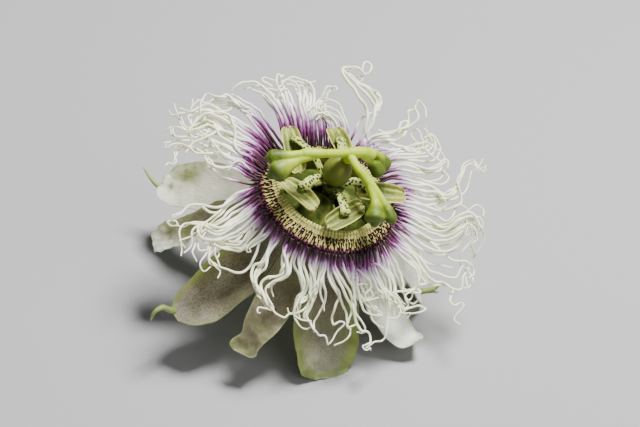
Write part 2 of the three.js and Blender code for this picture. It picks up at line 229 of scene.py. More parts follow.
def sheet_faces(rows, columns):
    """The faces of a thin closed sheet: rows by columns of points on its face, then as many on its back."""
    size = rows * columns
    rim = [i * columns for i in range(rows)]
    rim += [(rows - 1) * columns + j for j in range(1, columns)]
    rim += [i * columns + columns - 1 for i in range(rows - 2, -1, -1)]
    rim += list(range(columns - 2, 0, -1))
    faces = grid_faces(rows, columns, flip=True) + grid_faces(rows, columns, start=size)
    return faces + [(a, b, b + size, a + size) for a, b in zip(rim, rim[1:] + rim[:1])]


def tube(shape, path, radii, sides, flat=1.0, domed=True, **values):
    """Adds a round tube along a path, with domed ends. flat thins it along its normal."""
    path = np.asarray(path, float)
    radii = np.broadcast_to(np.asarray(radii, float), (len(path),)).copy()
    tangents, normals, binormals = path_frames(path)
    angles = np.linspace(0, 2 * math.pi, sides, endpoint=False)
    ring = (
        np.cos(angles)[None, :, None] * binormals[:, None, :]
        + flat * np.sin(angles)[None, :, None] * normals[:, None, :]
    )
    rings = path[:, None, :] + radii[:, None, None] * ring
    if domed:
        dome = path[-1] + tangents[-1] * radii[-1] * 0.6 + 0.7 * radii[-1] * ring[-1]
        rings = np.concatenate([rings, dome[None]])
    count = len(rings)
    points = np.concatenate([
        rings.reshape(-1, 3),
        path[:1] - tangents[:1] * radii[0] * 0.3,
        path[-1:] + tangents[-1:] * radii[-1] * (1.0 if domed else 0.1),
    ])
    faces = grid_faces(count, sides, closed=True)
    first, last = count * sides, count * sides + 1
    top = (count - 1) * sides
    faces += [(first, (j + 1) % sides, j) for j in range(sides)]
    faces += [(last, top + j, top + (j + 1) % sides) for j in range(sides)]
    spread = {}
    for name, value in values.items():
        value = np.broadcast_to(np.asarray(value, float), (len(path),))
        if domed:
            value = np.append(value, value[-1])
        spread[name] = np.concatenate([np.repeat(value, sides), [value[0], value[-1]]])
    shape.add(points, faces, **spread)


def lathe(shape, profile, sides=128, ripple=None, centre=(0, 0, 0), **values):
    """Adds a body of revolution from a profile of (radius, height) that runs up its outside."""
    profile = np.asarray(profile, float)
    azimuths = np.linspace(0, 360, sides, endpoint=False)
    radius = np.broadcast_to(profile[:, :1], (len(profile), sides))
    height = np.broadcast_to(profile[:, 1:], (len(profile), sides))
    if ripple is not None:
        radius, height = ripple(radius, azimuths[None, :], height)
    points = polar(radius, azimuths[None, :], height) + centre
    spread = {n: np.repeat(np.broadcast_to(v, (len(profile),)), sides) for n, v in values.items()}
    shape.add(points, grid_faces(len(profile), sides, closed=True), **spread)


def wobble(points, scale, seed):
    """Smooth noise between about -1 and 1 at each point."""
    shifted = np.asarray(points, float) * scale + seed * 17.3
    return np.array([noise.noise(Vector(p)) for p in shifted.reshape(-1, 3)]).reshape(shifted.shape[:-1])


def finish_piece(piece, slot, *nodes):
    """Hides the CAD nodes that a piece stands for and attaches the piece to the root body. slot is not used.
    """
    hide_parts(*nodes)
    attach(piece, "root")
    return piece


# ---------------------------------------------------------------- materials

class Nodes:
    """A material's node tree, with short calls for the nodes used here."""

    def __init__(self, name):
        self.material = bpy.data.materials.new(name)
        self.material.use_nodes = True
        self.tree = self.material.node_tree
        self.surface = self.tree.nodes["Principled BSDF"]

    def node(self, kind, **settings):
        node = self.tree.nodes.new(kind)
        for key, value in settings.items():
            setattr(node, key, value)
        return node

    def link(self, source, target):
        self.tree.links.new(source, target)

    def set(self, socket, value):
        """Links a socket to another, or gives it a plain value."""
        if isinstance(value, bpy.types.NodeSocket):
            self.link(value, socket)
        elif isinstance(value, (tuple, list)) and len(value) == 3 and socket.type == "RGBA":
            socket.default_value = (*value, 1.0)
        else:
            socket.default_value = value

    def attribute(self, name, output="Fac"):
        return self.node("ShaderNodeAttribute", attribute_name=name).outputs[output]

    def place(self):
        """The object's own coordinates, in metres."""
        return self.node("ShaderNodeTexCoord").outputs["Object"]

    def stretched(self, vector, scale):
        mapping = self.node("ShaderNodeMapping")
        self.link(vector, mapping.inputs["Vector"])
        mapping.inputs["Scale"].default_value = scale
        return mapping.outputs["Vector"]

    def noise(self, vector, scale, detail=3.0, roughness=0.55):
        node = self.node("ShaderNodeTexNoise")
        self.set(node.inputs["Vector"], vector)
        node.inputs["Scale"].default_value = scale
        node.inputs["Detail"].default_value = detail
        node.inputs["Roughness"].default_value = roughness
        return node.outputs["Fac"]

    def cells(self, vector, scale, dimensions="3D"):
        node = self.node("ShaderNodeTexVoronoi", voronoi_dimensions=dimensions)
        self.set(node.inputs["Vector"], vector)
        node.inputs["Scale"].default_value = scale
        return node.outputs["Distance"]

    def math(self, operation, *values, clamp=False):
        node = self.node("ShaderNodeMath", operation=operation, use_clamp=clamp)
        for socket, value in zip(node.inputs, values):
            self.set(socket, value)
        return node.outputs["Value"]

    def step(self, value, low, high, to_low=0.0, to_high=1.0):
        node = self.node("ShaderNodeMapRange", interpolation_type="SMOOTHSTEP")
        for socket, given in zip(node.inputs, (value, low, high, to_low, to_high)):
            self.set(socket, given)
        return node.outputs["Result"]

    def mix(self, factor, first, second):
        node = self.node("ShaderNodeMix", data_type="RGBA")
        self.set(node.inputs["Factor"], factor)
        self.set(node.inputs[6], first)
        self.set(node.inputs[7], second)
        return node.outputs[2]

    def ramp(self, factor, stops):
        node = self.node("ShaderNodeValToRGB")
        self.set(node.inputs["Fac"], factor)
        elements = node.color_ramp.elements
        while len(elements) < len(stops):
            elements.new(0.5)
        for element, (position, colour) in zip(elements, stops):
            element.position = position
            element.color = (*colour, 1.0)
        return node.outputs["Color"]

    def bump(self, height, strength, distance):
        node = self.node("ShaderNodeBump")
        node.inputs["Strength"].default_value = strength
        node.inputs["Distance"].default_value = distance
        self.link(height, node.inputs["Height"])
        self.link(node.outputs["Normal"], self.surface.inputs["Normal"])

    def finish(self, colour, roughness=0.5, subsurface=0.0, depth=0.001, sheen=0.0, specular=0.4):
        surface = self.surface.inputs
        self.set(surface["Base Color"], colour)
        self.set(surface["Roughness"], roughness)
        surface["Subsurface Weight"].default_value = subsurface
        surface["Subsurface Radius"].default_value = (1.0, 0.8, 0.5)
        surface["Subsurface Scale"].default_value = depth
        surface["Specular IOR Level"].default_value = specular
        surface["Sheen Weight"].default_value = sheen
        return self.material


def tepal_material(name, inside, mottle, green, outside):
    """A sepal or petal. Its values are: green, how green a place is; olive, how stained; mottled, how
    speckled; dull, how brown a place is, partly its own colour and partly painted shade that is strongest at
    the foot, under the corona; inner, 1 on the inner face and 0 on the outer; leaf, millimetres across and
    along."""
    n = Nodes(name)
    leaf = n.attribute("leaf", "Vector")
    stretched = n.stretched(leaf, (1.0, 0.55, 1.0))
    dots = n.cells(leaf, 1.5, "2D")
    broad = n.noise(leaf, 0.22, 3.0, 0.5)
    specks = n.step(dots, 0.13, 0.30, 0.85, 0.0)
    amount = n.math("MULTIPLY", specks, n.attribute("mottled"))
    amount = n.math("MULTIPLY", amount, n.step(broad, 0.25, 0.6, 0.6, 1.0), clamp=True)
    cloud = n.math("MULTIPLY", n.attribute("mottled"), n.step(broad, 0.3, 0.75, 0.0, 0.08))
    frost = n.step(n.noise(stretched, 1.1, 5.0, 0.65), 0.35, 0.7, 0.035, -0.035)
    # Painted shade: the inner face goes brown, partly its own colour and partly painted shade, most at the
    # foot where the corona shades it
    inside = n.mix(n.math("ADD", n.attribute("dull"), frost, clamp=True), inside, BROWN_AND_SHADE)
    face = n.mix(cloud, inside, tuple(0.5 * a + 0.5 * b for a, b in zip(BROWN_AND_SHADE, mottle)))
    face = n.mix(amount, face, mottle)
    stain = n.math("ADD", n.attribute("olive"), n.step(broad, 0.3, 0.7, -0.06, 0.06), clamp=True)
    face = n.mix(stain, face, OLIVE)
    veins = n.step(n.noise(stretched, 0.9, 2.0), 0.45, 0.6)
    wavering = n.math("ADD", n.attribute("green"), n.step(broad, 0.3, 0.7, -0.12, 0.12), clamp=True)
    face = n.mix(wavering, face, green)
    back = n.mix(n.math("MULTIPLY", veins, 0.35), outside, tuple(0.6 * c for c in outside))
    colour = n.mix(n.attribute("inner"), back, face)
    n.bump(n.noise(stretched, 1.6, 5.0, 0.6), 0.5, 0.0004)
    return n.finish(colour, 0.55, subsurface=0.5, depth=0.0025, sheen=0.1)


RAMP_LENGTH = 16.0


def filament_material():
    """The corona's filaments, dark at the foot and then violet and white. reach is millimetres from the
    foot, stretched to suit where a filament turns white, and tint is a strand's own value."""
    n = Nodes("corona_filament")
    place = n.place()
    flecks = n.noise(place, 950.0, 4.0, 0.62)
    reach = n.math("ADD", n.attribute("reach"), n.math("MULTIPLY", n.math("SUBTRACT", flecks, 0.5), 2.6))
    reach = n.math("ADD", reach, n.math("MULTIPLY", n.attribute("tint"), 1.5))
    colour = n.ramp(n.math("DIVIDE", reach, RAMP_LENGTH, clamp=True), [
        (0.0, (0.020, 0.001, 0.006)),
        (0.09, (0.032, 0.002, 0.013)),
        (0.18, (0.095, 0.008, 0.064)),
        (0.26, (0.240, 0.060, 0.235)),
        (0.34, (0.50, 0.34, 0.52)),
        (0.45, (0.76, 0.73, 0.72)),
        (0.58, (0.87, 0.88, 0.73)),
        (1.0, (0.83, 0.85, 0.62)),
    ])
    n.bump(n.noise(place, 2600.0, 2.0), 0.3, 0.0001)
    return n.finish(colour, 0.48, subsurface=0.30, depth=0.0008, sheen=0.1)


def peg_material():
    """The comb and its pegs. tip is 1 where a peg is dark, and shade is painted shade, 1 in the hollows
    between them.
    """
    n = Nodes("corona_comb")
    place = n.place()
    waver = n.math("MULTIPLY", n.math("SUBTRACT", n.noise(place, 1800.0), 0.5), 0.3)
    # Painted shade: the cream darkens in the hollows between the pegs, at their feet and down the lip into
    # the cup
    cream = n.mix(n.attribute("shade"), (0.49, 0.49, 0.155), (0.21, 0.20, 0.05))
    tip = n.math("ADD", n.attribute("tip"), waver, clamp=True)
    colour = n.mix(n.step(tip, 0.20, 0.42), cream, (0.26, 0.06, 0.10))
    colour = n.mix(n.step(tip, 0.34, 0.62), colour, (0.013, 0.001, 0.003))
    n.bump(n.noise(place, 3000.0, 2.0), 0.3, 0.0001)
    return n.finish(colour, 0.65, subsurface=0.08, depth=0.0005, specular=0.15)


def green_material(name, light, dark, scale=500.0, roughness=0.45, speckled=False, specular=0.3,
                   subsurface=0.25):
    """Green flesh. deep is 0 where it is light and 1 where it is dark; spots, if speckled, is how many
    dark specks a place has."""
    n = Nodes(name)
    place = n.place()
    blotch = n.noise(place, scale, 4.0, 0.55)
    factor = n.math("ADD", n.attribute("deep"), n.step(blotch, 0.3, 0.7, -0.25, 0.25), clamp=True)
    colour = n.mix(factor, light, dark)
    if speckled:
        cells = n.cells(place, 1250.0)
        spots = n.math("MULTIPLY", n.step(cells, 0.38, 0.45, 1.0, 0.0), n.attribute("spots"), clamp=True)
        colour = n.mix(spots, colour, (0.010, 0.003, 0.008))
    n.bump(n.noise(place, scale * 3.0, 4.0), 0.3, 0.00015)
    return n.finish(colour, roughness, subsurface=subsurface, depth=0.0015, specular=specular)


def anther_material():
    """rim is 1 along an anther's edges, and deep is 1 in its grooves and its hollow centre, where a darker
    green of its own carries painted shade.
    """
    n = Nodes("anther_skin")
    place = n.place()
    grain = n.noise(place, 1500.0, 3.0)
    groove = n.math("ADD", n.attribute("deep"), n.step(grain, 0.3, 0.7, -0.2, 0.2), clamp=True)
    colour = n.mix(groove, (0.34, 0.39, 0.052), (0.088, 0.112, 0.010))
    colour = n.mix(n.attribute("rim"), colour, (0.58, 0.50, 0.19))
    n.bump(grain, 0.4, 0.0002)
    return n.finish(colour, 0.6, subsurface=0.15)


# ---------------------------------------------------------------- sepals and petals

TEPAL_ROWS = 96
TEPAL_COLUMNS = 41
SEPAL_THICKNESS = 0.55
PETAL_THICKNESS = 0.4
BACK_ABOVE_FLOOR = 0.02
AWN_RADIUS = 0.92
AWN_ABOVE_FLOOR = 0.95
FOOT = (12.6, -4.4)
WHITE = (0.78, 0.79, 0.66)
# A brown that is partly the blades' own colour and partly painted shade
BROWN_AND_SHADE = (0.118, 0.108, 0.064)
SPECK = (0.045, 0.030, 0.022)
OLIVE = (0.108, 0.138, 0.028)

# Each blade:
#   azimuth   its heading in degrees
#   spine     (radius, height) from foot to tip
#   outline   (share of the length, half width towards falling azimuth, half width towards rising azimuth)
#   trough    how far its edges rise; wave, how far its margins ripple; crumple, how creased its tip is
#   mottled   how speckled its inner face is
#   dull      how brown it is at its foot and at its tip, partly its own colour and partly painted shade
#   olive     its stains: (place across, from -1 to 1; place along, from 0 to 1; half width; half length;
#             strength)
#   green     how wide its green margins are, on the falling and on the rising side
#   blotch    how green its patches are
#   roll      its turn about its own spine in degrees
#   swing     how far its tip is carried aside, if it is
#   awn       the horn's places: (radius, distance aside, height)
# Lengths are in millimetres.
SEPALS = [
    dict(
        azimuth=162, dull=(0.45, 0.08),
        olive=[(-0.5, 0.81, 0.5, 0.12, 0.95), (0.05, 0.895, 0.22, 0.04, 0.7), (0.0, 0.8, 1.0, 0.2, 0.22)],
        spine=[(14.4, -9), (16.2, -14), (18.9, -18.2), (23.7, -22.3), (33.7, -30.6), (40.1, -36)],
        outline=[(0, 3.4, 3.4), (0.25, 4.6, 4.6), (0.5, 6.0, 6.2), (0.7, 6.6, 6.6), (0.85, 6.2, 5.6),
                 (0.95, 4.6, 3.6), (1, 1.6, 1.0)],
        trough=1.2, wave=0.5, crumple=0.4, mottled=0.06, green=(1.2, 0.3), roll=-30, blotch=0.15,
        awn=[(38.0, 0, -35.6), (40.6, 0.1, -36.4), (43.6, 0.1, -35.8), (46.0, 0, -34.8)],
    ),
    dict(
        azimuth=236, dull=(0.94, 0.86), olive=[(-0.95, 0.68, 0.32, 0.30, 0.9)],
        spine=[(13.9, -9), (15.2, -14.4), (17.4, -19), (22.1, -22.6), (26.4, -26.4), (33.8, -29.4)],
        outline=[(0, 3.4, 3.4), (0.25, 4.8, 6.0), (0.5, 6.2, 6.8), (0.72, 5.7, 6.8), (0.86, 4.6, 6.3),
                 (0.95, 3.2, 4.4), (1, 1.2, 1.4)],
        trough=1.5, wave=0.25, crumple=0.1, mottled=1.0, green=(1.3, 0.5), roll=0, blotch=0.0,
        awn=[(31.8, -0.9, -29.5), (34.6, -1.4, -28.2), (37.2, -1.6, -26.1), (38.9, -1.6, -26.7),
             (39.3, -1.5, -29.5)],
    ),
    dict(
        azimuth=305.3, dull=(0.95, 0.80),
        olive=[(1.0, 0.78, 0.55, 0.4, 1.0), (-1.0, 0.80, 0.42, 0.28, 0.95), (-0.7, 0.96, 0.45, 0.06, 1.0)],
        spine=[(13.6, -9), (14.2, -14.6), (17.3, -17.6), (23.4, -24.5), (26.8, -27.5), (29.5, -30.9)],
        outline=[(0, 3.4, 3.4), (0.25, 5.5, 5.2), (0.5, 7.8, 7.2), (0.68, 8.2, 7.9), (0.82, 7.4, 7.3),
                 (0.92, 6.3, 6.1), (0.97, 5.2, 4.7), (1, 3.0, 2.8)],
        trough=1.0, wave=0.45, crumple=0.35, mottled=0.5, green=(1.6, 3.0), roll=0, blotch=0.0,
        awn=[(26.2, 2.6, -28.9), (27.6, 3.8, -29.9), (28.6, 5.2, -30.4), (29.0, 6.0, -29.9)],
    ),
    dict(
        azimuth=17, dull=(0.15, 0.0), olive=[],
        spine=[(15, -8.2), (20.2, -13.8), (23.7, -17.9), (27.5, -21.9), (31, -26.6)],
        outline=[(0, 3.4, 3.4), (0.25, 6.0, 5.2), (0.5, 7.8, 6.8), (0.7, 7.8, 7.0), (0.86, 6.4, 6.0),
                 (0.95, 4.4, 4.4), (1, 1.6, 1.6)],
        trough=1.6, wave=0.35, crumple=0.25, mottled=0.0, green=(0.5, 1.4), roll=0, blotch=0.15,
        awn=[(29.0, 0.5, -25.8), (32.0, 1.0, -27.4), (34.4, 1.4, -26.0), (35.4, 1.6, -23.4)],
    ),
    dict(
        azimuth=90, dull=(0.5, 0.3), olive=[(0.0, 0.6, 0.4, 0.2, 0.4)],
        spine=[(15, -8.6), (19.5, -13.5), (23.5, -18.5), (27, -23.4), (30.4, -28.6)],
        outline=[(0, 3.4, 3.4), (0.25, 5.0, 5.0), (0.5, 6.4, 6.6), (0.72, 6.8, 6.8), (0.86, 6.0, 6.0),
                 (0.95, 4.2, 4.2), (1, 1.4, 1.4)],
        trough=1.5, wave=0.35, crumple=0.2, mottled=0.4, green=(0.9, 0.9), roll=0, blotch=0.2,
        awn=[(28.2, 0, -26.6), (31, 0.3, -30.2), (33.6, 0.5, -31.2), (35.2, 0.6, -29.6)],
    ),
]
PETALS = [
    dict(
        azimuth=202, dull=(0.95, 0.10), olive=[(0.0, 0.72, 0.9, 0.07, 0.9), (-0.4, 0.84, 0.45, 0.10, 0.85)],
        spine=[(15.2, -8), (19, -12.6), (23.3, -16.8), (27, -20.6), (33.4, -28.3)],
        outline=[(0, 2.1, 2.1), (0.3, 3.2, 3.2), (0.6, 4.1, 4.1), (0.8, 4.4, 4.2), (0.93, 3.6, 3.8),
                 (1, 2.0, 2.2)],
        trough=0.9, wave=0.7, crumple=1.0, mottled=0.05, green=(1.0, 0.3), roll=0, blotch=0.3,
    ),
    dict(
        azimuth=270, dull=(0.97, 1.0), olive=[(0.0, 0.97, 0.8, 0.07, 0.5)], swing=-2.0,
        spine=[(14.2, -8.6), (15.8, -13.4), (18.6, -17.4), (23.4, -21.8), (30.7, -27.6)],
        outline=[(0, 2.1, 2.1), (0.3, 4.8, 4.0), (0.6, 4.6, 4.2), (0.78, 3.4, 3.9), (0.87, 2.4, 3.2),
                 (0.93, 3.3, 3.0), (0.98, 3.0, 3.0), (1, 2.0, 2.2)],
        trough=0.7, wave=0.4, crumple=0.45, mottled=0.35, green=(0.4, 0.4), roll=0, blotch=0.1,
    ),
    dict(
        azimuth=342, dull=(0.0, 0.0), olive=[],
        spine=[(14.8, -8.6), (16.6, -13.4), (19.3, -17), (23.6, -20.1), (29, -22.4), (33, -22.5),
               (34.8, -18.8)],
        outline=[(0, 2.1, 2.1), (0.3, 3.8, 4.6), (0.6, 4.8, 5.2), (0.8, 4.0, 4.2), (0.93, 2.2, 2.6),
                 (1, 0.4, 0.6)],
        trough=1.0, wave=0.25, crumple=0.1, mottled=0.0, green=(0.2, 0.9), roll=0, blotch=0.2,
    ),
    dict(
        azimuth=54, dull=(0.4, 0.2), olive=[(0.0, 0.5, 0.5, 0.2, 0.4)],
        spine=[(14.3, -9), (16.6, -15), (19.6, -21), (22.8, -27), (26.2, -33.2)],
        outline=[(0, 2.1, 2.1), (0.3, 3.4, 3.4), (0.6, 4.4, 4.2), (0.8, 4.2, 4.2), (0.93, 3.0, 3.2),
                 (1, 1.2, 1.2)],
        trough=0.8, wave=0.5, crumple=0.4, mottled=0.05, green=(0.3, 0.3), roll=0, blotch=0.2,
    ),
    dict(
        azimuth=126, dull=(0.4, 0.2), olive=[(0.2, 0.6, 0.5, 0.2, 0.4)],
        spine=[(15, -8.4), (19, -12.8), (23, -17.4), (27, -22), (30.4, -26.6)],
        outline=[(0, 2.1, 2.1), (0.3, 3.4, 3.4), (0.6, 4.2, 4.4), (0.8, 4.2, 4.2), (0.93, 3.2, 3.0),
                 (1, 1.2, 1.2)],
        trough=0.8, wave=0.5, crumple=0.5, mottled=0.05, green=(0.3, 0.3), roll=0, blotch=0.2,
    ),
]


def rest_on_floor(points, thickness):
    """Moves flower-frame points that would be under the floor to lie on it."""
    metres = world(points)
    height = metres[..., 2] / MM
    lifted = thickness * smoothstep(height, -thickness, thickness)
    metres[..., 2] = MM * np.where(height < thickness, lifted, height)
    return upright(metres)


def add_blade(shape, blade, thickness, seed):
    """One sepal or petal: a thin closed sheet with an inner and an outer face."""
    rows, columns = TEPAL_ROWS, TEPAL_COLUMNS
    azimuth = blade["azimuth"]
    spine = np.array([FOOT, *blade["spine"]])
    path = smooth_path(polar(spine[:, 0], azimuth, spine[:, 1]), rows)
    along = lengths(path)
    t = along / along[-1]
    tangent = unit(np.gradient(path, axis=0))
    rising = polar(1.0, azimuth + 90.0, 0.0)
    path = path + rising * (blade.get("swing", 0.0) * smoothstep(t, 0.5, 1.0))[:, None]
    inner = unit(np.cross(tangent, rising))
    roll = (np.radians(blade["roll"]) * smoothstep(t, 0.1, 0.5))[:, None]
    side = np.cos(roll) * rising + np.sin(roll) * inner
    up = np.cos(roll) * inner - np.sin(roll) * rising

    knots, falling, rising_width = np.array(blade["outline"]).T
    v = np.linspace(-1, 1, columns)
    widths = np.stack([hermite(knots, falling, t), hermite(knots, rising_width, t)])
    half = np.where(v[None, :] < 0, widths[0][:, None], widths[1][:, None])
    across = v[None, :] * half
    centre = path[:, None, :] + side[:, None, :] * across[..., None]

    margin = np.abs(v)[None, :] ** 3
    ripple = blade["wave"] * margin * np.sin(
        9 * t[:, None] * (1 + 0.3 * np.sign(v)[None, :]) * 2 + seed * 2.1 + 2.0 * np.sign(v)[None, :]
    )
    ripple = ripple + 0.5 * blade["wave"] * margin * wobble(centre, 0.55, seed)
    creases = wobble(centre, 0.33, seed + 5) + 0.5 * wobble(centre, 0.8, seed + 9)
    creases = creases * (0.25 * blade["wave"] + blade["crumple"] * smoothstep(t, 0.6, 1.0)[:, None])
    rise = blade["trough"] * v[None, :] ** 2 * np.minimum(1, half / 6.0) + ripple + creases
    keel = 0.18 * np.exp(-(across / 0.5) ** 2) * (1 - t[:, None])
    body = thickness * (1 - 0.55 * v[None, :] ** 2)
    faces_points = []
    for sign in (1, -1):
        lift = rise + sign * body / 2 - (keel if sign < 0 else -0.3 * keel)
        sheet = centre + up[:, None, :] * lift[..., None]
        faces_points.append(rest_on_floor(sheet, thickness if sign > 0 else BACK_ABOVE_FLOOR))
    points = np.concatenate([sheet.reshape(-1, 3) for sheet in faces_points])

    from_edge = np.minimum((1 - np.abs(v))[None, :] * half, (1 - t)[:, None] * along[-1])
    green_width = np.where(v[None, :] < 0, blade["green"][0], blade["green"][1])
    green = 0.7 * (1 - smoothstep(from_edge / np.maximum(green_width, 0.01), 0.15, 1.2))
    green = green * smoothstep(t, 0.32, 0.55)[:, None] * (0.45 + 0.55 * smoothstep(from_edge, 0.0, 0.4))
    blotches = blade["blotch"] * smoothstep(wobble(centre, 0.16, seed + 3), 0.0, 0.45)
    green = np.clip(np.maximum(green, blotches * (1 - 0.5 * margin)), 0, 1)
    # How brown each row is: partly the blade's own colour, partly painted shade that is strongest at the foot
    at_foot, at_tip = blade["dull"]
    dull = np.broadcast_to((at_foot + (at_tip - at_foot) * smoothstep(t, 0.6, 1.0))[:, None], across.shape)
    olive = np.zeros(across.shape)
    for where_across, where_along, wide, long, strength in blade["olive"]:
        distance = np.hypot((v[None, :] - where_across) / wide, (t[:, None] - where_along) / long)
        olive = np.maximum(olive, strength * np.exp(-distance ** 2))
    leaf = np.stack([across, np.broadcast_to(along[:, None], across.shape), 0 * across + seed * 7], -1)
    mottled = blade["mottled"] * (1 - 0.45 * smoothstep(t, 0.8, 1.0)).repeat(columns)
    shape.add(
        points,
        sheet_faces(rows, columns),
        green=np.tile(green.ravel(), 2),
        mottled=np.tile(mottled, 2),
        inner=np.repeat([1.0, 0.0], rows * columns),
        dull=np.tile(dull.ravel(), 2),
        olive=np.tile(olive.ravel(), 2),
        leaf=np.tile(leaf.reshape(-1, 3), (2, 1)),
    )


def add_awn(shape, blade, seed):
    """The green horn behind a sepal's tip."""
    places = np.array(blade["awn"])
    path = polar(places[:, 0], blade["azimuth"], places[:, 2])
    path = path + polar(1.0, blade["azimuth"] + 90.0, 0.0) * places[:, 1:2]
    path = rest_on_floor(smooth_path(path, 28), AWN_ABOVE_FLOOR)
    t = np.linspace(0, 1, len(path))
    radii = AWN_RADIUS * (0.3 + 0.7 * smoothstep(t, 0.0, 0.22)) * (1 - 0.78 * t ** 1.4)
    tube(shape, path, radii, sides=12, flat=0.8, green=1.0, olive=0.0, mottled=0.0, inner=1.0, dull=0.0)
    shape.values["leaf"].append(np.full((len(shape.points[-1]), 3), seed * 7.0))


def make_tepals():
    sepal = tepal_material("sepal_skin", WHITE, SPECK, (0.165, 0.225, 0.034), (0.20, 0.29, 0.05))
    petal = tepal_material("petal_skin", WHITE, SPECK, (0.31, 0.36, 0.09), (0.60, 0.62, 0.45))
    for i, blade in enumerate(SEPALS):
        shape = Shape()
        add_blade(shape, blade, SEPAL_THICKNESS, seed=i + 1)
        add_awn(shape, blade, seed=i + 1)
        node = f"sepal_{i + 1}"
        finish_piece(shape.build(f"{node}_blade", sepal), "sepal", node)
    for i, blade in enumerate(PETALS):
        shape = Shape()
        add_blade(shape, blade, PETAL_THICKNESS, seed=i + 11)
        node = f"petal_{i + 1}"
        finish_piece(shape.build(f"{node}_blade", petal), "petal", node)


# ---------------------------------------------------------------- corona

FILAMENT_POINTS = 76
FILAMENT_SIDES = 8
FILAMENT_GAP = 0.58
SETTLE_ROUNDS = 5
SETTLE_SHARE = 0.3
SETTLE_MOST = 0.25
SHORT_POINTS = 18
SHORT_SIDES = 6
SHORT_RADIUS = 0.25
SHORT_REACH = (2.2, 4.2)
SHORT_PACE = 0.75
RING_ROWS = [(15.5, -2.5), (16.2, -3.0)]
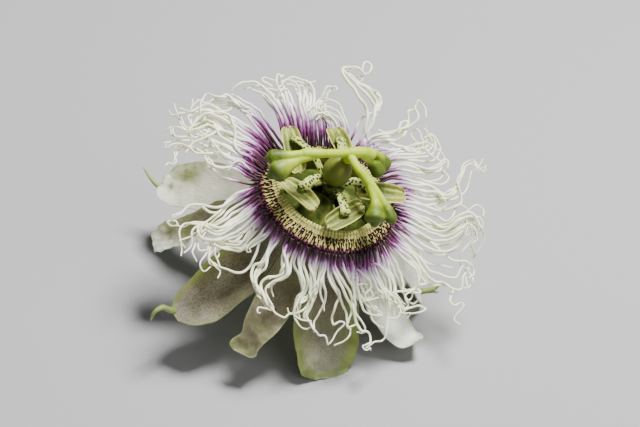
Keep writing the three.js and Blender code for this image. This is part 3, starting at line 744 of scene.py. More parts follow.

# Filaments, lock by lock, counterclockwise seen from above. Each is the azimuth of its foot, then each
# place passed through as radius, azimuth and height. 169 of the 184 routes were traced, and the other
# 15 fill gaps, as shortened blends of their neighbours. All the heights are guessed.
LOCKS = [
    [
        (141.4, 20.6, 142, 1.3, 24, 142, 3, 28, 143, 3.2, 29.1, 148, 4.6, 30.8, 154, 3.8),
        (143, 20.1, 144, 0.8, 22.3, 145, 2.5, 25.6, 147, 3.7, 27.2, 151, 5, 29.2, 153, 4.8),
        (144.6, 20.4, 144, 1.1, 22.8, 144, 3.2, 26.2, 145, 4.1, 27.7, 148, 5.3, 29.6, 150, 5.8,
         30.9, 152, 5.4, 31.7, 158, 5.4, 31.7, 161, 3.9),
        (146.3, 19.9, 146, 0.2, 22.3, 146, 1.8, 25.5, 147, 2.6, 27.3, 149, 4.1, 29.2, 146, 3.8,
         30.1, 148, 4),
        (149.3, 22.8, 153, 0.7, 26, 155, 2.2, 31.9, 159, 2.3),
        (152.3, 25.6, 160, 2.6, 27.6, 163, 3.8, 30.7, 164, 3.8, 32.4, 167, 3.7, 35.7, 167, 2.1,
         34.9, 172, 1.8, 33.8, 175, 0.8),
        (154, 25.1, 160, 2.4, 28.5, 164, 3.7, 30.2, 164, 3.7, 31.6, 165, 4, 34.6, 170, 1.4, 35.7, 171, 1.7,
         36.3, 175, 0.2),
        (155.7, 24.6, 160, 2, 26.8, 162, 2.9, 30.1, 164, 2.7, 32.6, 168, 2.3, 35, 170, 0.4, 35.3, 174, 0.4),
        (157.5, 24.4, 161, 1.8, 26.7, 163, 2.7, 28.8, 163, 2.6, 29.6, 168, 1.9, 32.9, 172, 0.3,
         33.9, 176, 0.1, 33.9, 179, -1.3),
        (159.2, 24.1, 162, 1.5, 26.5, 163, 2.4, 29.6, 163, 2.2, 31, 166, 2.3, 32.2, 168, 2, 30.4, 168, 1.1),
        (160.9, 22.5, 166, 0.9, 24.4, 169, 1.8, 28.5, 170, 2, 32.6, 171, 2.4, 34.7, 172, 1, 36, 177, 0.9,
         38.6, 176, -0.4),
        (162.5, 22, 168, 0.6, 24.2, 170, 1.5, 28.6, 171, 1.7, 32.5, 173, 1.8, 34.8, 175, 0.2,
         35.6, 179, 0.5, 34.3, 181, -0.6),
        (164.1, 21.8, 168, 0.3, 24.1, 170, 1.1, 28.6, 171, 1.1, 33, 172, 1.3, 35.6, 174, -0.3,
         37.4, 178, -0.2, 39.3, 179, -1.5, 40.2, 179, -0.7),
        (165.7, 21.5, 170, 0.3, 25.5, 173, 1.7, 28.6, 173, 1.7, 32.2, 175, 1.9, 33.7, 178, 0.6,
         33.8, 185, 0.1),
    ],
    [
        (167.2, 21, 171, -0.2, 24, 174, 0.7, 28.3, 173, 0.5, 31.8, 175, 1, 33.5, 178, -0.6,
         33.7, 184, -0.8),
        (168.8, 20.8, 173, -0.2, 24.1, 177, 0.8, 28.1, 178, 0.5, 29.8, 184, 0.4, 32.3, 189, -1.3,
         33, 193, -1.3, 33.4, 194, -1.9),
        (170.3, 20.6, 173, -0.6, 23.4, 175, -0.1, 28, 174, -0.4, 31.1, 175, 0.1, 32.9, 178, -1.5,
         32, 183, -1.3),
        (171.7, 20.4, 175, -0.6, 22.7, 177, 0.1, 25.2, 177, -0.1, 27.7, 176, -0.1, 31.6, 176, 0.4,
         32.9, 177, -0.5, 34.2, 182, -0.7, 36.3, 180, -1.2, 38.1, 178, -0.4),
        (173.1, 20.3, 177, -0.7, 23.3, 179, -0.1, 27, 177, -0.4, 30.5, 176, 0.6, 31.4, 176, -0.3,
         31.2, 178, -0.9),
        (174.5, 20.2, 177, -0.9, 23.2, 178, -0.6, 26.6, 176, -1.1, 29.6, 176, -0.3, 31.5, 176, -0.8,
         32.9, 178, -1.6, 34.2, 179, -1.1, 35.2, 176, -1.1, 36.7, 172, -1.6, 37.7, 169, -0.4),
        (175.8, 20.1, 178, -0.9, 22.8, 179, -0.3, 26.5, 178, -0.9, 30.2, 179, -0.6, 32.1, 180, -1.2,
         34.3, 181, -1.6, 35.3, 183, -1.2, 36.6, 181, -1.2, 37.2, 179, -1.6, 39.3, 176, -1,
         40.6, 174, -1.6),
        (177.1, 20.1, 179, -0.8, 22.4, 181, -0, 26.1, 180, -0.3, 27.6, 180, 0.3, 29.5, 178, 0.7,
         30.9, 177, -0, 33.3, 183, -0.4, 34.8, 183, -1.2, 36.6, 184, -0.6, 37.5, 184, -1.2,
         37.5, 185, -1.8, 36.4, 188, -1.3),
        (178.4, 20, 179, -1, 22.5, 181, -0.5, 25, 180, -0.8, 27, 177, -1, 28.9, 176, 0, 30.2, 176, -0.5,
         31.4, 177, -1.1, 31.9, 181, -1, 32.9, 183, -2.2),
        (179.7, 19.9, 182, -1.1, 22.3, 184, -0.6, 25.9, 181, -1.1, 27.8, 179, -0, 30, 176, -0.4,
         32.3, 175, 0.5, 30.3, 178, -0.9, 30.4, 181, -0.7, 32.7, 184, -1.9, 34.5, 184, -1.2),
        (180.9, 19.8, 183, -1.2, 22.7, 185, -0.7, 25.9, 183, -1.1, 30, 183, -0.7, 33.1, 185, -1.8,
         35.8, 187, -1.6, 37.3, 186, -2.3, 38.2, 184, -1.3, 38.5, 185, -2.4),
        (182.2, 19.6, 183, -1, 21.7, 185, -0.1, 23.3, 182, 0.4, 24.1, 179, 0.6, 26.1, 174, 2.4,
         28.4, 170, 2.5, 30.6, 173, 2.6, 32.2, 175, 1, 32.3, 178, 0.8),
        (183.5, 19.4, 182, -1.3, 21.3, 182, -0.8, 22.8, 181, -1.2, 24.7, 188, -1.5, 27.7, 191, -2.6,
         28.5, 194, -2.2, 27.2, 195, -3.2, 26.5, 197, -3.2),
        (184.9, 19.9, 184, -1.3, 23, 184, -0.9, 26.1, 183, -1.6, 29.1, 187, -1.3, 30.4, 185, -2,
         32.1, 185, -2.1, 33.8, 187, -1.9, 36.7, 188, -3.2, 38.3, 190, -3.1),
        (186.4, 19.7, 187, -1.6, 22.2, 189, -0.9, 25.6, 188, -1.1, 28.4, 192, -0.8, 30.9, 192, -1.7,
         33, 191, -1.2, 34.7, 189, -2.1, 36.6, 192, -1.8, 37.1, 193, -2.4, 37.6, 192, -2.6,
         37.7, 191, -1.8),
        (187.9, 19.5, 188, -2.1, 21.7, 189, -2, 25, 187, -2.6, 27.4, 190, -1.9, 30.1, 187, -2.5,
         31.8, 188, -2.9, 33.2, 189, -2.5, 34.3, 189, -3, 34.8, 190, -3.9, 34.9, 195, -3.8,
         35.5, 198, -5.2),
    ],
    [
        (189.5, 17.1, 190, -2.6, 18.8, 191, -1.9, 20.6, 189, -1.3, 22, 192, -0.8, 23.2, 196, -2.1),
        (191.1, 19.3, 191, -2.1, 22.7, 191, -0.7, 25.6, 190, -0.4, 26.8, 189, 0.3, 28.4, 187, 0.8,
         29.5, 184, 0.1, 31.8, 184, 0.7),
        (192.6, 17.9, 191, -2.9, 20.2, 191, -2.6, 23.1, 192, -3.1, 26.6, 195, -2.5, 28.3, 192, -2.8,
         29.4, 190, -1.8, 31.4, 188, -2.8, 34.1, 190, -2.6, 35.4, 189, -3.2, 35.6, 191, -4,
         34.7, 196, -3.8, 35.2, 197, -4.5, 36, 196, -4.8, 36.9, 198, -4.3),
        (194.2, 18.5, 193, -2.8, 21.5, 192, -1.7, 24.5, 191, -1.5, 27.1, 190, -0.5, 30.5, 183, -0.7,
         32.5, 186, -0.6, 33.6, 184, -1.3),
        (195.9, 17.5, 194, -3.2, 22, 194, -2.1, 24.9, 197, -1.7, 26.5, 197, -1.3, 27.1, 194, -1.5,
         28.2, 194, -1.3, 28, 197, -1.2, 26.7, 196, -2),
        (197.7, 16.9, 198, -3.9, 22.7, 197, -4.3, 25.3, 198, -3.4, 26.6, 197, -2.8, 27.9, 194, -3.1,
         28.6, 193, -2.1),
        (200.6, 17, 202, -4.2, 19.6, 205, -4.8, 21.9, 208, -6.7, 24.3, 214, -7.8, 26.2, 217, -9.1,
         28.7, 220, -9.6, 29.2, 222, -10.4),
        (202.6, 17, 203, -4.4, 18.9, 206, -4.6, 21.3, 208, -6.1, 24.6, 213, -7.1, 26.8, 211, -7.8,
         29.6, 211, -7.1, 31.2, 212, -7.6, 33.2, 215, -8.5, 35, 216, -7.9, 35, 217, -8.9, 34.2, 217, -9.1,
         34, 219, -9),
        (204.9, 18.7, 206, -5.3, 21.5, 209, -7.5, 23.9, 215, -8.5, 26, 218, -10.1, 28.5, 223, -10.9),
        (206.7, 18.1, 206, -5.6, 20.6, 207, -7.9, 23.9, 212, -9.1, 25.3, 211, -9.6, 28.1, 209, -8.8,
         30.4, 209, -9.3, 31.9, 211, -10, 33.6, 213, -9.6, 34, 214, -10.4),
    ],
    [
        (209.2, 17.9, 209, -5.7, 20.8, 211, -8.3, 23.3, 216, -9, 25.9, 218, -10.5, 28.5, 220, -10.4),
        (212.7, 18, 213, -6, 20.6, 214, -8.5, 23.5, 218, -9.2, 26.1, 219, -10.4, 28.5, 221, -10.5),
        (214.5, 17.9, 215, -6.2, 20.6, 217, -8.9, 24.2, 221, -9.9, 26.9, 217, -10.4, 29.8, 217, -9.8,
         32.6, 217, -10.8, 35.5, 218, -9.7, 35.7, 216, -10, 34.7, 215, -10.3),
        (216.2, 18, 217, -6.2, 20.9, 219, -9, 24.3, 222, -9.5, 28, 218, -10, 29, 220, -10.2,
         29.8, 224, -12.1, 31.8, 229, -11.9, 31.5, 232, -13),
        (218, 18, 219, -6.3, 21, 220, -9.2, 24.6, 223, -9.9, 26.5, 220, -10.4, 29.7, 218, -9.7,
         32.1, 217, -10.5, 33.8, 222, -10.8, 33.6, 226, -12.6, 34.7, 229, -12),
        (219.7, 17.9, 221, -6.4, 21.2, 222, -9.6, 25, 224, -10.3, 27.7, 220, -10.7, 28.9, 221, -10.5,
         29.3, 223, -11.1),
        (221.4, 17.8, 221, -7, 20.7, 221, -10.5, 24.7, 223, -11.3, 26.9, 221, -12.1, 28.3, 220, -12.2,
         29.7, 220, -11.5, 30.4, 221, -12, 31.6, 221, -12.8, 33.8, 222, -12, 31.9, 224, -13.6),
        (223.1, 17.6, 225, -6.3, 20.5, 226, -9.3, 22.6, 227, -9.9, 25.9, 226, -11.5, 28.8, 233, -12.3,
         28.6, 235, -13.2, 28.2, 237, -12.9),
    ],
    [
        (224.7, 18.5, 226, -6.4, 21.8, 227, -9.1, 26.4, 228, -10.1, 27.4, 226, -10.7, 29.2, 224, -10.4,
         29.7, 222, -9.7, 28.8, 219, -9.5, 31, 222, -9.6, 31.8, 226, -11.5, 34.3, 229, -11),
        (226.3, 17.5, 226, -6.3, 19.5, 228, -8.8, 22.4, 231, -10, 23.9, 227, -11.3, 26.1, 227, -11.4,
         26.8, 229, -11.5, 25.9, 232, -12.6, 26.8, 234, -12.7),
        (227.9, 18.1, 228, -6.7, 20.9, 229, -9.7, 23.9, 228, -10.2, 25.6, 227, -11.1, 28.5, 226, -11.4,
         29.3, 222, -10.9, 29.8, 225, -12.1, 30.2, 229, -11.8, 28.8, 229, -11.9),
        (229.5, 17.1, 230, -6.1, 19.2, 231, -8.6, 22.1, 234, -10, 24.1, 229, -11.5, 26.1, 229, -11.4,
         27.3, 232, -12, 26.9, 234, -13, 27.8, 239, -12.6),
        (231.2, 17.6, 230, -6.7, 19.6, 232, -9.3, 21.3, 233, -10, 24.5, 227, -11.8, 26.9, 227, -11.7,
         28.2, 229, -12.5, 29.1, 228, -13.1, 29.9, 227, -12.6),
        (232.9, 17.6, 233, -7.4, 21.7, 235, -10.5, 22.9, 231, -11.6, 25.1, 228, -11.3, 26.4, 227, -12.1,
         27.5, 228, -12.7, 29.9, 232, -12.6, 31.1, 234, -13.3, 30.9, 236, -14, 30.7, 237, -13.6,
         29.5, 237, -13),
        (236, 17.1, 237, -5.8, 19.5, 238, -7.9, 20.7, 239, -8.3, 21.8, 240, -9, 21.6, 241, -9.8,
         21.3, 243, -9.1, 21.1, 241, -8.8),
        (237.8, 17.6, 239, -7.6, 18.6, 241, -9.1, 20.8, 246, -10.4, 21.8, 247, -11.9, 23.8, 247, -12.7,
         25.2, 245, -12.6, 26.5, 239, -13.8, 28.4, 236, -13, 28.2, 233, -13.3),
        (239.8, 17.6, 239, -7.1, 21.9, 237, -10.2, 23.6, 233, -11.4, 26.3, 230, -11.4, 27.2, 225, -11.8),
        (241.8, 17.5, 241, -7.3, 18.6, 240, -8.5, 20.5, 239, -9.3, 22, 237, -10.3, 24.2, 231, -11.7,
         26.8, 230, -11.6, 28.2, 232, -13, 28.6, 238, -12.6, 28.1, 240, -13.3, 29.2, 242, -13.7),
    ],
    [
        (244.1, 17.4, 247, -6.7, 20.4, 252, -9.3, 21.8, 249, -11.2, 24.4, 254, -12.1, 24.3, 258, -13.4,
         25.9, 265, -13.4, 26.2, 270, -14.8, 27.5, 276, -14.5, 25.7, 278, -15, 24.8, 280, -15),
        (246.7, 17.2, 248, -7.4, 19.8, 251, -9.9, 21.2, 251, -11.4, 23.2, 253, -12.3, 23.9, 256, -13.7,
         25.6, 262, -14, 25.8, 267, -15.1),
        (249.3, 17.1, 250, -7.3, 20.4, 252, -10.6, 22.1, 253, -11.7, 23.2, 255, -13.3, 25.1, 260, -13.8,
         25.9, 267, -15.2),
        (251.9, 16.9, 251, -6, 18.9, 251, -8.2, 21.3, 255, -10.1, 22, 254, -11.4, 23.6, 255, -12.2,
         24.9, 258, -12.5, 25.2, 264, -13.9, 27.1, 270, -13.5),
        (254.4, 17.2, 259, -5.7, 20.5, 268, -8.5, 21.5, 265, -10.9, 23.8, 262, -12.1, 24.6, 263, -13.1,
         26.3, 269, -13.3),
        (256.1, 17.3, 258, -6.1, 19.5, 264, -8.6, 20.7, 266, -9.5, 21.5, 260, -11.4),
        (257.7, 17.8, 262, -6.8, 20.1, 268, -8.7, 22.2, 263, -12.2),
    ],
    [
        (259.4, 18.3, 262, -7.5, 19.5, 264, -8.5, 20.4, 265, -10.4, 21.9, 259, -11.6, 22.9, 258, -13.3,
         25.2, 265, -13.9, 25.5, 270, -15.2, 27.1, 267, -14.4, 27.8, 264, -14.7, 28.7, 265, -15,
         29.1, 266, -14.3),
        (262.2, 17.9, 264, -8.3, 19.6, 267, -10.1, 21.6, 263, -12.2, 23.2, 267, -14.3),
        (265, 17.5, 267, -7.9, 19.6, 269, -9.3, 20.9, 265, -12, 22.5, 263, -13.3),
        (266.7, 17.4, 269, -8, 18.9, 275, -8.8, 20.4, 281, -12.3, 22, 280, -13.7, 23.5, 281, -16.1,
         24.8, 282, -16.7, 25.9, 285, -17.1, 25.3, 290, -18.3, 25.2, 291, -17.7),
        (268.4, 17.9, 271, -6, 20.3, 278, -8.8, 21.2, 281, -11.3, 23.5, 280, -13, 25.2, 281, -14.9,
         25.9, 287, -15.1, 25.2, 290, -15.6),
        (271.2, 17.5, 274, -7.5, 19.7, 280, -9.9, 20.6, 282, -12.1, 23.5, 282, -14.9, 24.7, 284, -16),
        (274, 17.2, 276, -7.5, 19.2, 282, -9.4, 20, 284, -11.4, 23, 281, -14.6, 23.9, 283, -16.2),
    ],
    [
        (277.2, 17, 280, -6.8, 19.6, 287, -9.7, 20.7, 289, -12.4, 23.8, 288, -16, 24.6, 291, -17,
         26.4, 293, -17.3, 26.3, 296, -18.7, 26.5, 299, -18.4, 28, 301, -19.7),
        (279.9, 17, 282, -6.8, 19.9, 285, -10.2, 22.1, 287, -14.4, 24.1, 283, -15, 24.5, 279, -15.7,
         24, 277, -14.9),
        (282.3, 16.9, 284, -7, 19.7, 287, -10.3, 21, 289, -13.2, 23.8, 287, -16.1, 24.3, 291, -17.4,
         26.3, 293, -17.8),
        (284.2, 17, 286, -7.8, 19.6, 288, -10.7, 20.5, 289, -12.7, 22.6, 286, -15.3, 23.9, 287, -16.6),
        (286, 17, 289, -7.2, 20.2, 288, -11.1, 20.9, 286, -12.7, 22.5, 282, -13.7, 23.3, 282, -15.1),
        (287.7, 17, 290, -6.6, 19.5, 289, -9.6, 20.5, 289, -11.5, 21.2, 285, -12.9, 22.6, 282, -13.6),
        (289.2, 17.1, 291, -6.7, 19.4, 290, -8.9, 20.2, 292, -11, 22.8, 297, -14.4),
        (290.7, 17.3, 294, -6.7, 19.7, 298, -9.1, 21.1, 305, -11.7, 22.3, 303, -13.2, 23.5, 302, -16.1,
         24.8, 303, -16.8, 24.1, 307, -16.2, 24.9, 309, -16.1, 25.9, 305, -18.2, 28.1, 301, -19),
        (292.1, 17, 292, -7.7, 18.7, 292, -8.9, 20.9, 297, -13.1, 22.8, 295, -15.5, 23.8, 293, -17.5,
         25.1, 293, -18),
    ],
    [
        (293.5, 16.9, 295, -5.3, 20.6, 305, -9.2, 22.7, 312, -13.2, 23.8, 312, -14.2, 26.1, 309, -15.6,
         26.1, 313, -15.5),
        (294.9, 17.5, 296, -6.9, 21, 304, -11, 22.3, 309, -14.1, 25, 310, -15.8, 25.8, 310, -16.4,
         25.9, 312, -17, 27.8, 309, -17.7, 28.3, 304, -19.8),
        (296.4, 17.1, 298, -5.5, 21.1, 311, -10.7, 22.8, 313, -13.6, 24.3, 312, -15),
        (297.9, 17, 302, -5.4, 17.9, 310, -7.2, 18.8, 315, -7.8, 19.3, 319, -9.3),
        (299.5, 17, 300, -6, 20.5, 313, -11.5, 22.9, 314, -15, 24.9, 311, -16.2),
        (301.2, 18, 306, -6.1, 20.4, 314, -10.3, 22.5, 314, -12.2, 24.2, 315, -14.5, 27.2, 318, -15.8,
         27.7, 317, -16.7, 27.8, 313, -15.8),
        (303, 17.8, 307, -6.3, 19.8, 315, -10.3, 22, 318, -12.3, 22.8, 324, -13.3, 24.8, 327, -13.8),
        (304.7, 18, 310, -6.9, 19.1, 314, -9.4, 19.7, 315, -10.7, 19.5, 318, -9.7, 19.6, 321, -9.5,
         20.5, 328, -10.5, 21.9, 329, -11.1),
        (307.7, 18.3, 311, -6.7, 20.5, 315, -10.7, 23.4, 313, -13, 25.7, 314, -15.5, 27.8, 315, -15.8,
         27.8, 318, -16, 28.4, 320, -17.1, 30.4, 318, -17.2, 30.6, 316, -17, 30.5, 314, -17.5,
         31.5, 315, -17.6, 31.3, 317, -17.4, 31.6, 318, -18.3),
        (309.4, 18.4, 314, -7.3, 20.6, 318, -11.3, 23, 321, -12.8, 24.7, 327, -14.6, 26.4, 329, -15),
    ],
    [
        (311, 17.1, 313, -5.7, 19.2, 315, -7.9, 21.3, 317, -11.1, 24.3, 318, -12.9, 25.3, 323, -14.3,
         26.3, 327, -14.2),
        (312.7, 17, 315, -5.7, 19.7, 325, -8.9, 21.1, 326, -10.1, 21.7, 322, -11.5, 22.7, 323, -12.5,
         22.6, 326, -11.4, 21.1, 326, -10.8),
        (314.3, 17.3, 317, -6.2, 19.2, 319, -8.7, 20.9, 322, -11.6, 22.9, 323, -12.9, 26.3, 331, -15.4),
        (315.9, 17.1, 318, -5.8, 20.9, 330, -9.9, 23.9, 331, -11.8, 25.4, 335, -12.8, 27.5, 336, -12.8),
        (317.5, 17.5, 319, -6.5, 21, 325, -11.7, 24.1, 323, -14.1, 25.4, 324, -15.9, 27.3, 327, -16.9,
         28, 329, -17.2),
        (319.1, 17.1, 322, -5.9, 18.8, 328, -7.6, 20.4, 333, -10, 22.7, 334, -11.5, 25.2, 341, -12.6,
         26.7, 341, -13.4, 28.1, 339, -13.6),
        (320.8, 17.8, 323, -6.7, 21.7, 330, -12.2, 24.3, 330, -13.8, 25.8, 330, -16.1, 26.3, 327, -17.2,
         26.9, 330, -16.7),
        (322.4, 17.5, 325, -6, 19.3, 330, -7.7, 21.7, 335, -10.8, 24.2, 336, -11.8, 27.7, 341, -13.5),
        (324, 18.3, 326, -6.7, 21, 329, -9.4, 22.5, 331, -10.9, 24.3, 332, -11.5, 27.6, 337, -12.9,
         28.8, 334, -14.1, 27.6, 331, -14.8),
        (325.6, 17.7, 329, -5.4, 19.2, 333, -6, 22.3, 337, -8.9, 24.1, 335, -9.9, 24.7, 332, -11.1,
         26.9, 331, -14.3),
        (327.2, 18.2, 327, -6.4, 22.6, 332, -10.3, 25.4, 332, -12, 27.3, 331, -15, 29.8, 327, -16.8,
         30.4, 325, -17.9, 30.7, 319, -16.9, 31.2, 315, -17.7),
        (328.8, 18.4, 330, -6.2, 23, 333, -10.3, 26.3, 336, -11.1, 27.2, 336, -12.6, 27.4, 334, -13.6,
         28.4, 333, -14.1),
        (330.5, 18.5, 332, -6.5, 21, 337, -9.4, 22.6, 337, -11.5, 25.9, 338, -12.6, 27.5, 341, -13.8,
         28.6, 339, -14.3),
        (332.3, 18.6, 334, -6.2, 21.9, 340, -9.9, 23, 340, -11.2, 24.1, 337, -12.1, 25.9, 336, -13.2,
         28, 340, -14.2, 28.2, 342, -13.2),
    ],
    [
        (335.8, 18.8, 337, -5.9, 22.9, 340, -9.9, 26.7, 336, -12.6, 28.8, 337, -13.9, 30.3, 339, -12.8,
         30.2, 337, -14.2),
        (338.9, 18.8, 340, -5.5, 23, 341, -10.2, 25.5, 338, -11.8, 28.1, 338, -13.4, 29.1, 342, -13.4,
         30.2, 344, -12.5, 31.7, 347, -13.4, 31.5, 343, -12.7, 29.7, 340, -13.9),
        (340.7, 19, 342, -5.7, 22.9, 345, -10, 26.4, 343, -12, 27.6, 344, -13.3, 28.9, 345, -13.7,
         29.3, 347, -13),
        (343.1, 19.5, 345, -5.6, 23.4, 346, -9, 25.6, 342, -10.5, 27.7, 342, -12.1, 27.7, 345, -11.9,
         26.9, 345, -10.7),
        (346.6, 19, 349, -4.5, 25.5, 352, -7.8, 27.3, 349, -9.1, 27.2, 347, -10.4, 26.9, 340, -10.5,
         28.3, 339, -11.3),
        (348.3, 18.6, 351, -4.2, 22.4, 354, -6.1, 27.3, 353, -9.1, 29, 353, -9.8, 27.5, 350, -10.1,
         26.9, 347, -10.9, 25.4, 339, -10.2, 23.3, 331, -11.7, 22.9, 320, -12),
        (350, 19.2, 351, -4.5, 21.7, 353, -5.4, 24.5, 355, -7.2, 27.1, 352, -8.6, 27.6, 351, -10,
         27.4, 349, -10.7, 28.7, 348, -10.7, 26.8, 345, -11.1, 25.7, 342, -10.3),
        (351.7, 18.9, 353, -4.5, 23.9, 358, -7.8, 27.2, 355, -9.3, 29.2, 355, -10.5, 32.2, 357, -9.7,
         34.4, 358, -10.2, 35.7, 352, -10.4, 36.8, 352, -10.5, 37.7, 354, -10.3, 38.6, 353, -9.5,
         38.2, 348, -11.9, 40, 347, -11.5),
        (353.4, 18.8, 354, -4.2, 23.9, 358, -6.7, 27.5, 355, -8.3, 30.3, 356, -9.6, 32.2, 357, -9,
         34.3, 356, -8.8, 36, 358, -9, 35.6, 362, -7.3, 36.5, 365, -7.5, 37.9, 362, -7.3, 38, 361, -8.4,
         36.9, 358, -8.1),
    ],
    [
        (356.5, 18.9, 357, -4.3, 23.3, 360, -6.2, 28.3, 358, -8.2, 30.2, 359, -8.2, 32, 358, -7.6,
         33.8, 360, -7.6, 34.7, 365, -6.1, 35.5, 366, -6.1, 36.2, 364, -6.1),
        (359.5, 18.9, 360, -4.5, 22.8, 361, -5.8, 26.8, 360, -7.2, 30.6, 361, -6.5, 32.2, 362, -6.1),
        (2.6, 19, 2, -3.6, 25.8, 2, -5.2, 28.5, 2, -4.4, 31.8, 8, -2.9, 32.4, 11, -0.5, 33.2, 12, 0.1),
        (5.2, 18.9, 5, -3.3, 25.9, 3, -4.2, 28.9, 3, -3.4, 31.6, 8, -1.9, 32.1, 11, 0.6, 32.1, 13, 1.5),
        (7.7, 19, 8, -3.3, 25, 8, -4.4, 28.9, 7, -3.5, 31.7, 12, -1.4, 32.4, 15, 0.6, 32.1, 18, 1),
        (9.5, 18.6, 8, -3, 20.6, 7, -3, 24.1, 8, -3.6, 27, 4, -3.3, 29.1, 4, -4.4, 31.4, 3, -4.9,
         33.9, 6, -5, 35.8, 6, -5.6, 37.1, 6, -6.6, 37.7, 4, -6.9, 36.9, 2, -7),
        (11.5, 18.9, 10, -2.8, 25.2, 7, -3.1, 27.4, 7, -2.5, 29.9, 9, -1.1, 31.2, 12, 0.1, 32.2, 14, 1.9,
         33.3, 13, 1.2, 33.5, 12, 0),
    ],
    [
        (13.4, 19.1, 14, -3, 24.6, 13, -3.6, 28.6, 11, -2.4, 30.6, 13, -0.6, 32.9, 18, 0.8, 34.2, 16, 0.8,
         35.3, 13, -1.2),
        (15.1, 18.8, 14, -2.6, 28, 10, -2.2, 30.6, 12, 0.2, 32.9, 15, 1.1, 34.9, 12, 0, 33.8, 10, -2.3,
         32.9, 7, -3.5, 33.9, 5, -6.3),
        (16.8, 19.5, 17, -2.8, 25.8, 14, -3.3, 28.7, 13, -1.7, 30.9, 15, -0.2, 33, 19, 0.6, 33.9, 17, 0.9,
         34.3, 15, 0.3),
        (18.4, 19.9, 17, -2.4, 24.4, 12, -2.2, 27.5, 12, -1.4, 30.2, 15, 1.8, 32.2, 18, 2, 34.2, 18, 2.7,
         35.5, 16, 2.2, 35.2, 13, 0.8),
        (20, 18.9, 18, -2.5, 27.8, 12, -2, 31.7, 14, 0.8, 34.8, 14, 0.1, 35.2, 12, -0.8, 34.5, 10, -2,
         36.4, 9, -4.8, 35.7, 5, -7.6, 37.1, -1, -8),
        (21.7, 19.6, 19, -2.4, 28.5, 13, -1.7, 30.6, 15, 0.4, 33, 19, 0.9, 34.1, 16, 1.1, 35.5, 14, -0.5),
        (23.3, 19.1, 19, -2.2, 27.1, 14, -0.9, 30, 17, 2.3, 32.6, 20, 2.2, 35, 14, 1.9, 36.9, 13, -0.3,
         36.2, 9, -3.4, 36.5, 9, -4.8),
        (25, 19.3, 21, -2, 22.8, 17, -1.5, 26.1, 14, -1.4, 28.1, 13, -0.3, 30, 16, 1.6, 32, 21, 2.2,
         33.1, 22, 3.2, 34.1, 23, 3.1, 35.6, 22, 2.4, 35.6, 19, 2.5),
        (28.1, 19.4, 25, -1.8, 22.6, 21, -1.1, 25.8, 19, -1, 27.8, 16, -0.1, 28.6, 18, 1.1, 30.2, 23, 1.9,
         31.4, 22, 2.3, 32.8, 21, 1.4),
        (31.3, 19.6, 28, -1.4, 26.4, 21, 0.5, 28.9, 21, 2.3, 30.5, 25, 2.3, 29.9, 30, 4.1, 30.9, 37, 4),
        (34.6, 19.8, 30, -1.3, 22.1, 26, -0.9, 26, 26, 0.2, 29, 26, 2.2, 32.3, 31, 3.4, 33.7, 36, 5.6,
         36.2, 39, 5.4, 37.4, 41, 6.5),
    ],
    [
        (37.1, 19.6, 33, -0.9, 21.8, 29, -0.1, 25.3, 27, 0.7, 27, 26, 2.2, 30, 31, 3.2, 31.5, 37, 5,
         33.3, 40, 5.3, 34.7, 40, 6.2, 34.7, 37, 6.9, 36.6, 35, 6.2, 36.8, 37, 7.1),
        (38.9, 19.6, 35, -1.6, 24.9, 29, -0.2, 27.5, 28, 1.6, 29.9, 31, 2.2, 31.8, 38, 4.1),
        (40.7, 19.6, 36, -0.7, 21.4, 32, -0.2, 25.3, 30, 0.4, 27.2, 29, 2, 30.3, 33, 2.9, 32, 39, 4.6,
         34, 42, 4.8, 35, 42, 5.6, 35.2, 40, 6.4, 35.7, 38, 5.9, 36.6, 38, 5.7, 37.4, 38, 6.7),
        (43.7, 19.4, 38, -0.4, 22.4, 31, 1.2, 25, 30, 2.2, 26, 24, 2.8, 26.5, 22, 1.9, 25.6, 20, 1.2,
         24.3, 21, 1.2),
        (45.9, 19.2, 40, -1.1, 20.6, 36, -0.1, 23, 33, 0.7, 24.5, 30, 1.3, 27, 29, 2, 27.8, 29, 3),
        (48.2, 18.9, 43, -0.6, 20.5, 38, 0.7, 24, 35, 1.5, 26.9, 27, 2.7, 29.2, 30, 3.2, 30.5, 34, 5,
         32.7, 39, 5.4, 34, 37, 7.1, 35, 35, 6.5),
        (51.5, 17.7, 50, -1.3, 23.8, 37, 0.7, 25.4, 31, 1.2, 27.2, 26, 0.8, 26.7, 22, 0.8, 25.6, 22, 0),
        (53.9, 18, 52, -1.1, 20, 48, -0, 23.3, 41, 0.7, 24.7, 37, 1.6, 27.2, 35, 2.3, 29.3, 38, 2.5,
         28.7, 41, 2.9, 29.1, 46, 2.2, 28.6, 49, 2.6),
        (56.3, 18.2, 53, -2, 20.4, 49, -0.5, 23.4, 42, 0.4, 26.2, 38, 1.9, 28.7, 41, 1.9, 27.8, 46, 2.4),
        (58.7, 18.3, 55, -0.7, 20.6, 49, 1.2, 23.8, 42, 2.2, 26.8, 41, 3.9, 28.6, 46, 3.6, 28.1, 48, 3.7,
         26.6, 50, 4.3, 26.7, 57, 4.2),
        (60.7, 18.7, 57, -0.4, 20.7, 52, 1.5, 23.3, 45, 2.5, 24.8, 43, 3.7, 27.1, 43, 4.4, 29.8, 46, 4.2,
         29.5, 43, 4.8, 29, 41, 4.3),
    ],
    [
        (62.7, 18.6, 59, -0.4, 21.4, 52, 2, 23.1, 47, 2.7, 24, 43, 3.7, 26.5, 42, 4.3, 29.7, 47, 4.2,
         28.6, 50, 5.2, 28.1, 56, 4.8, 26.8, 57, 5.3),
        (64.5, 19.2, 62, -0.6, 21.8, 58, 0.9, 24.5, 53, 1.4, 27.6, 49, 2.6, 31.9, 54, 2.6, 31.8, 56, 3.5,
         31.6, 61, 3.8, 29.8, 61, 3.9),
        (66.2, 19.2, 63, -0.3, 21, 59, 1.3, 24.3, 53, 2.7, 26.5, 50, 3.9, 30.3, 56, 4.2, 30.5, 58, 4.5,
         29.8, 59, 5.4, 29, 60, 5.3),
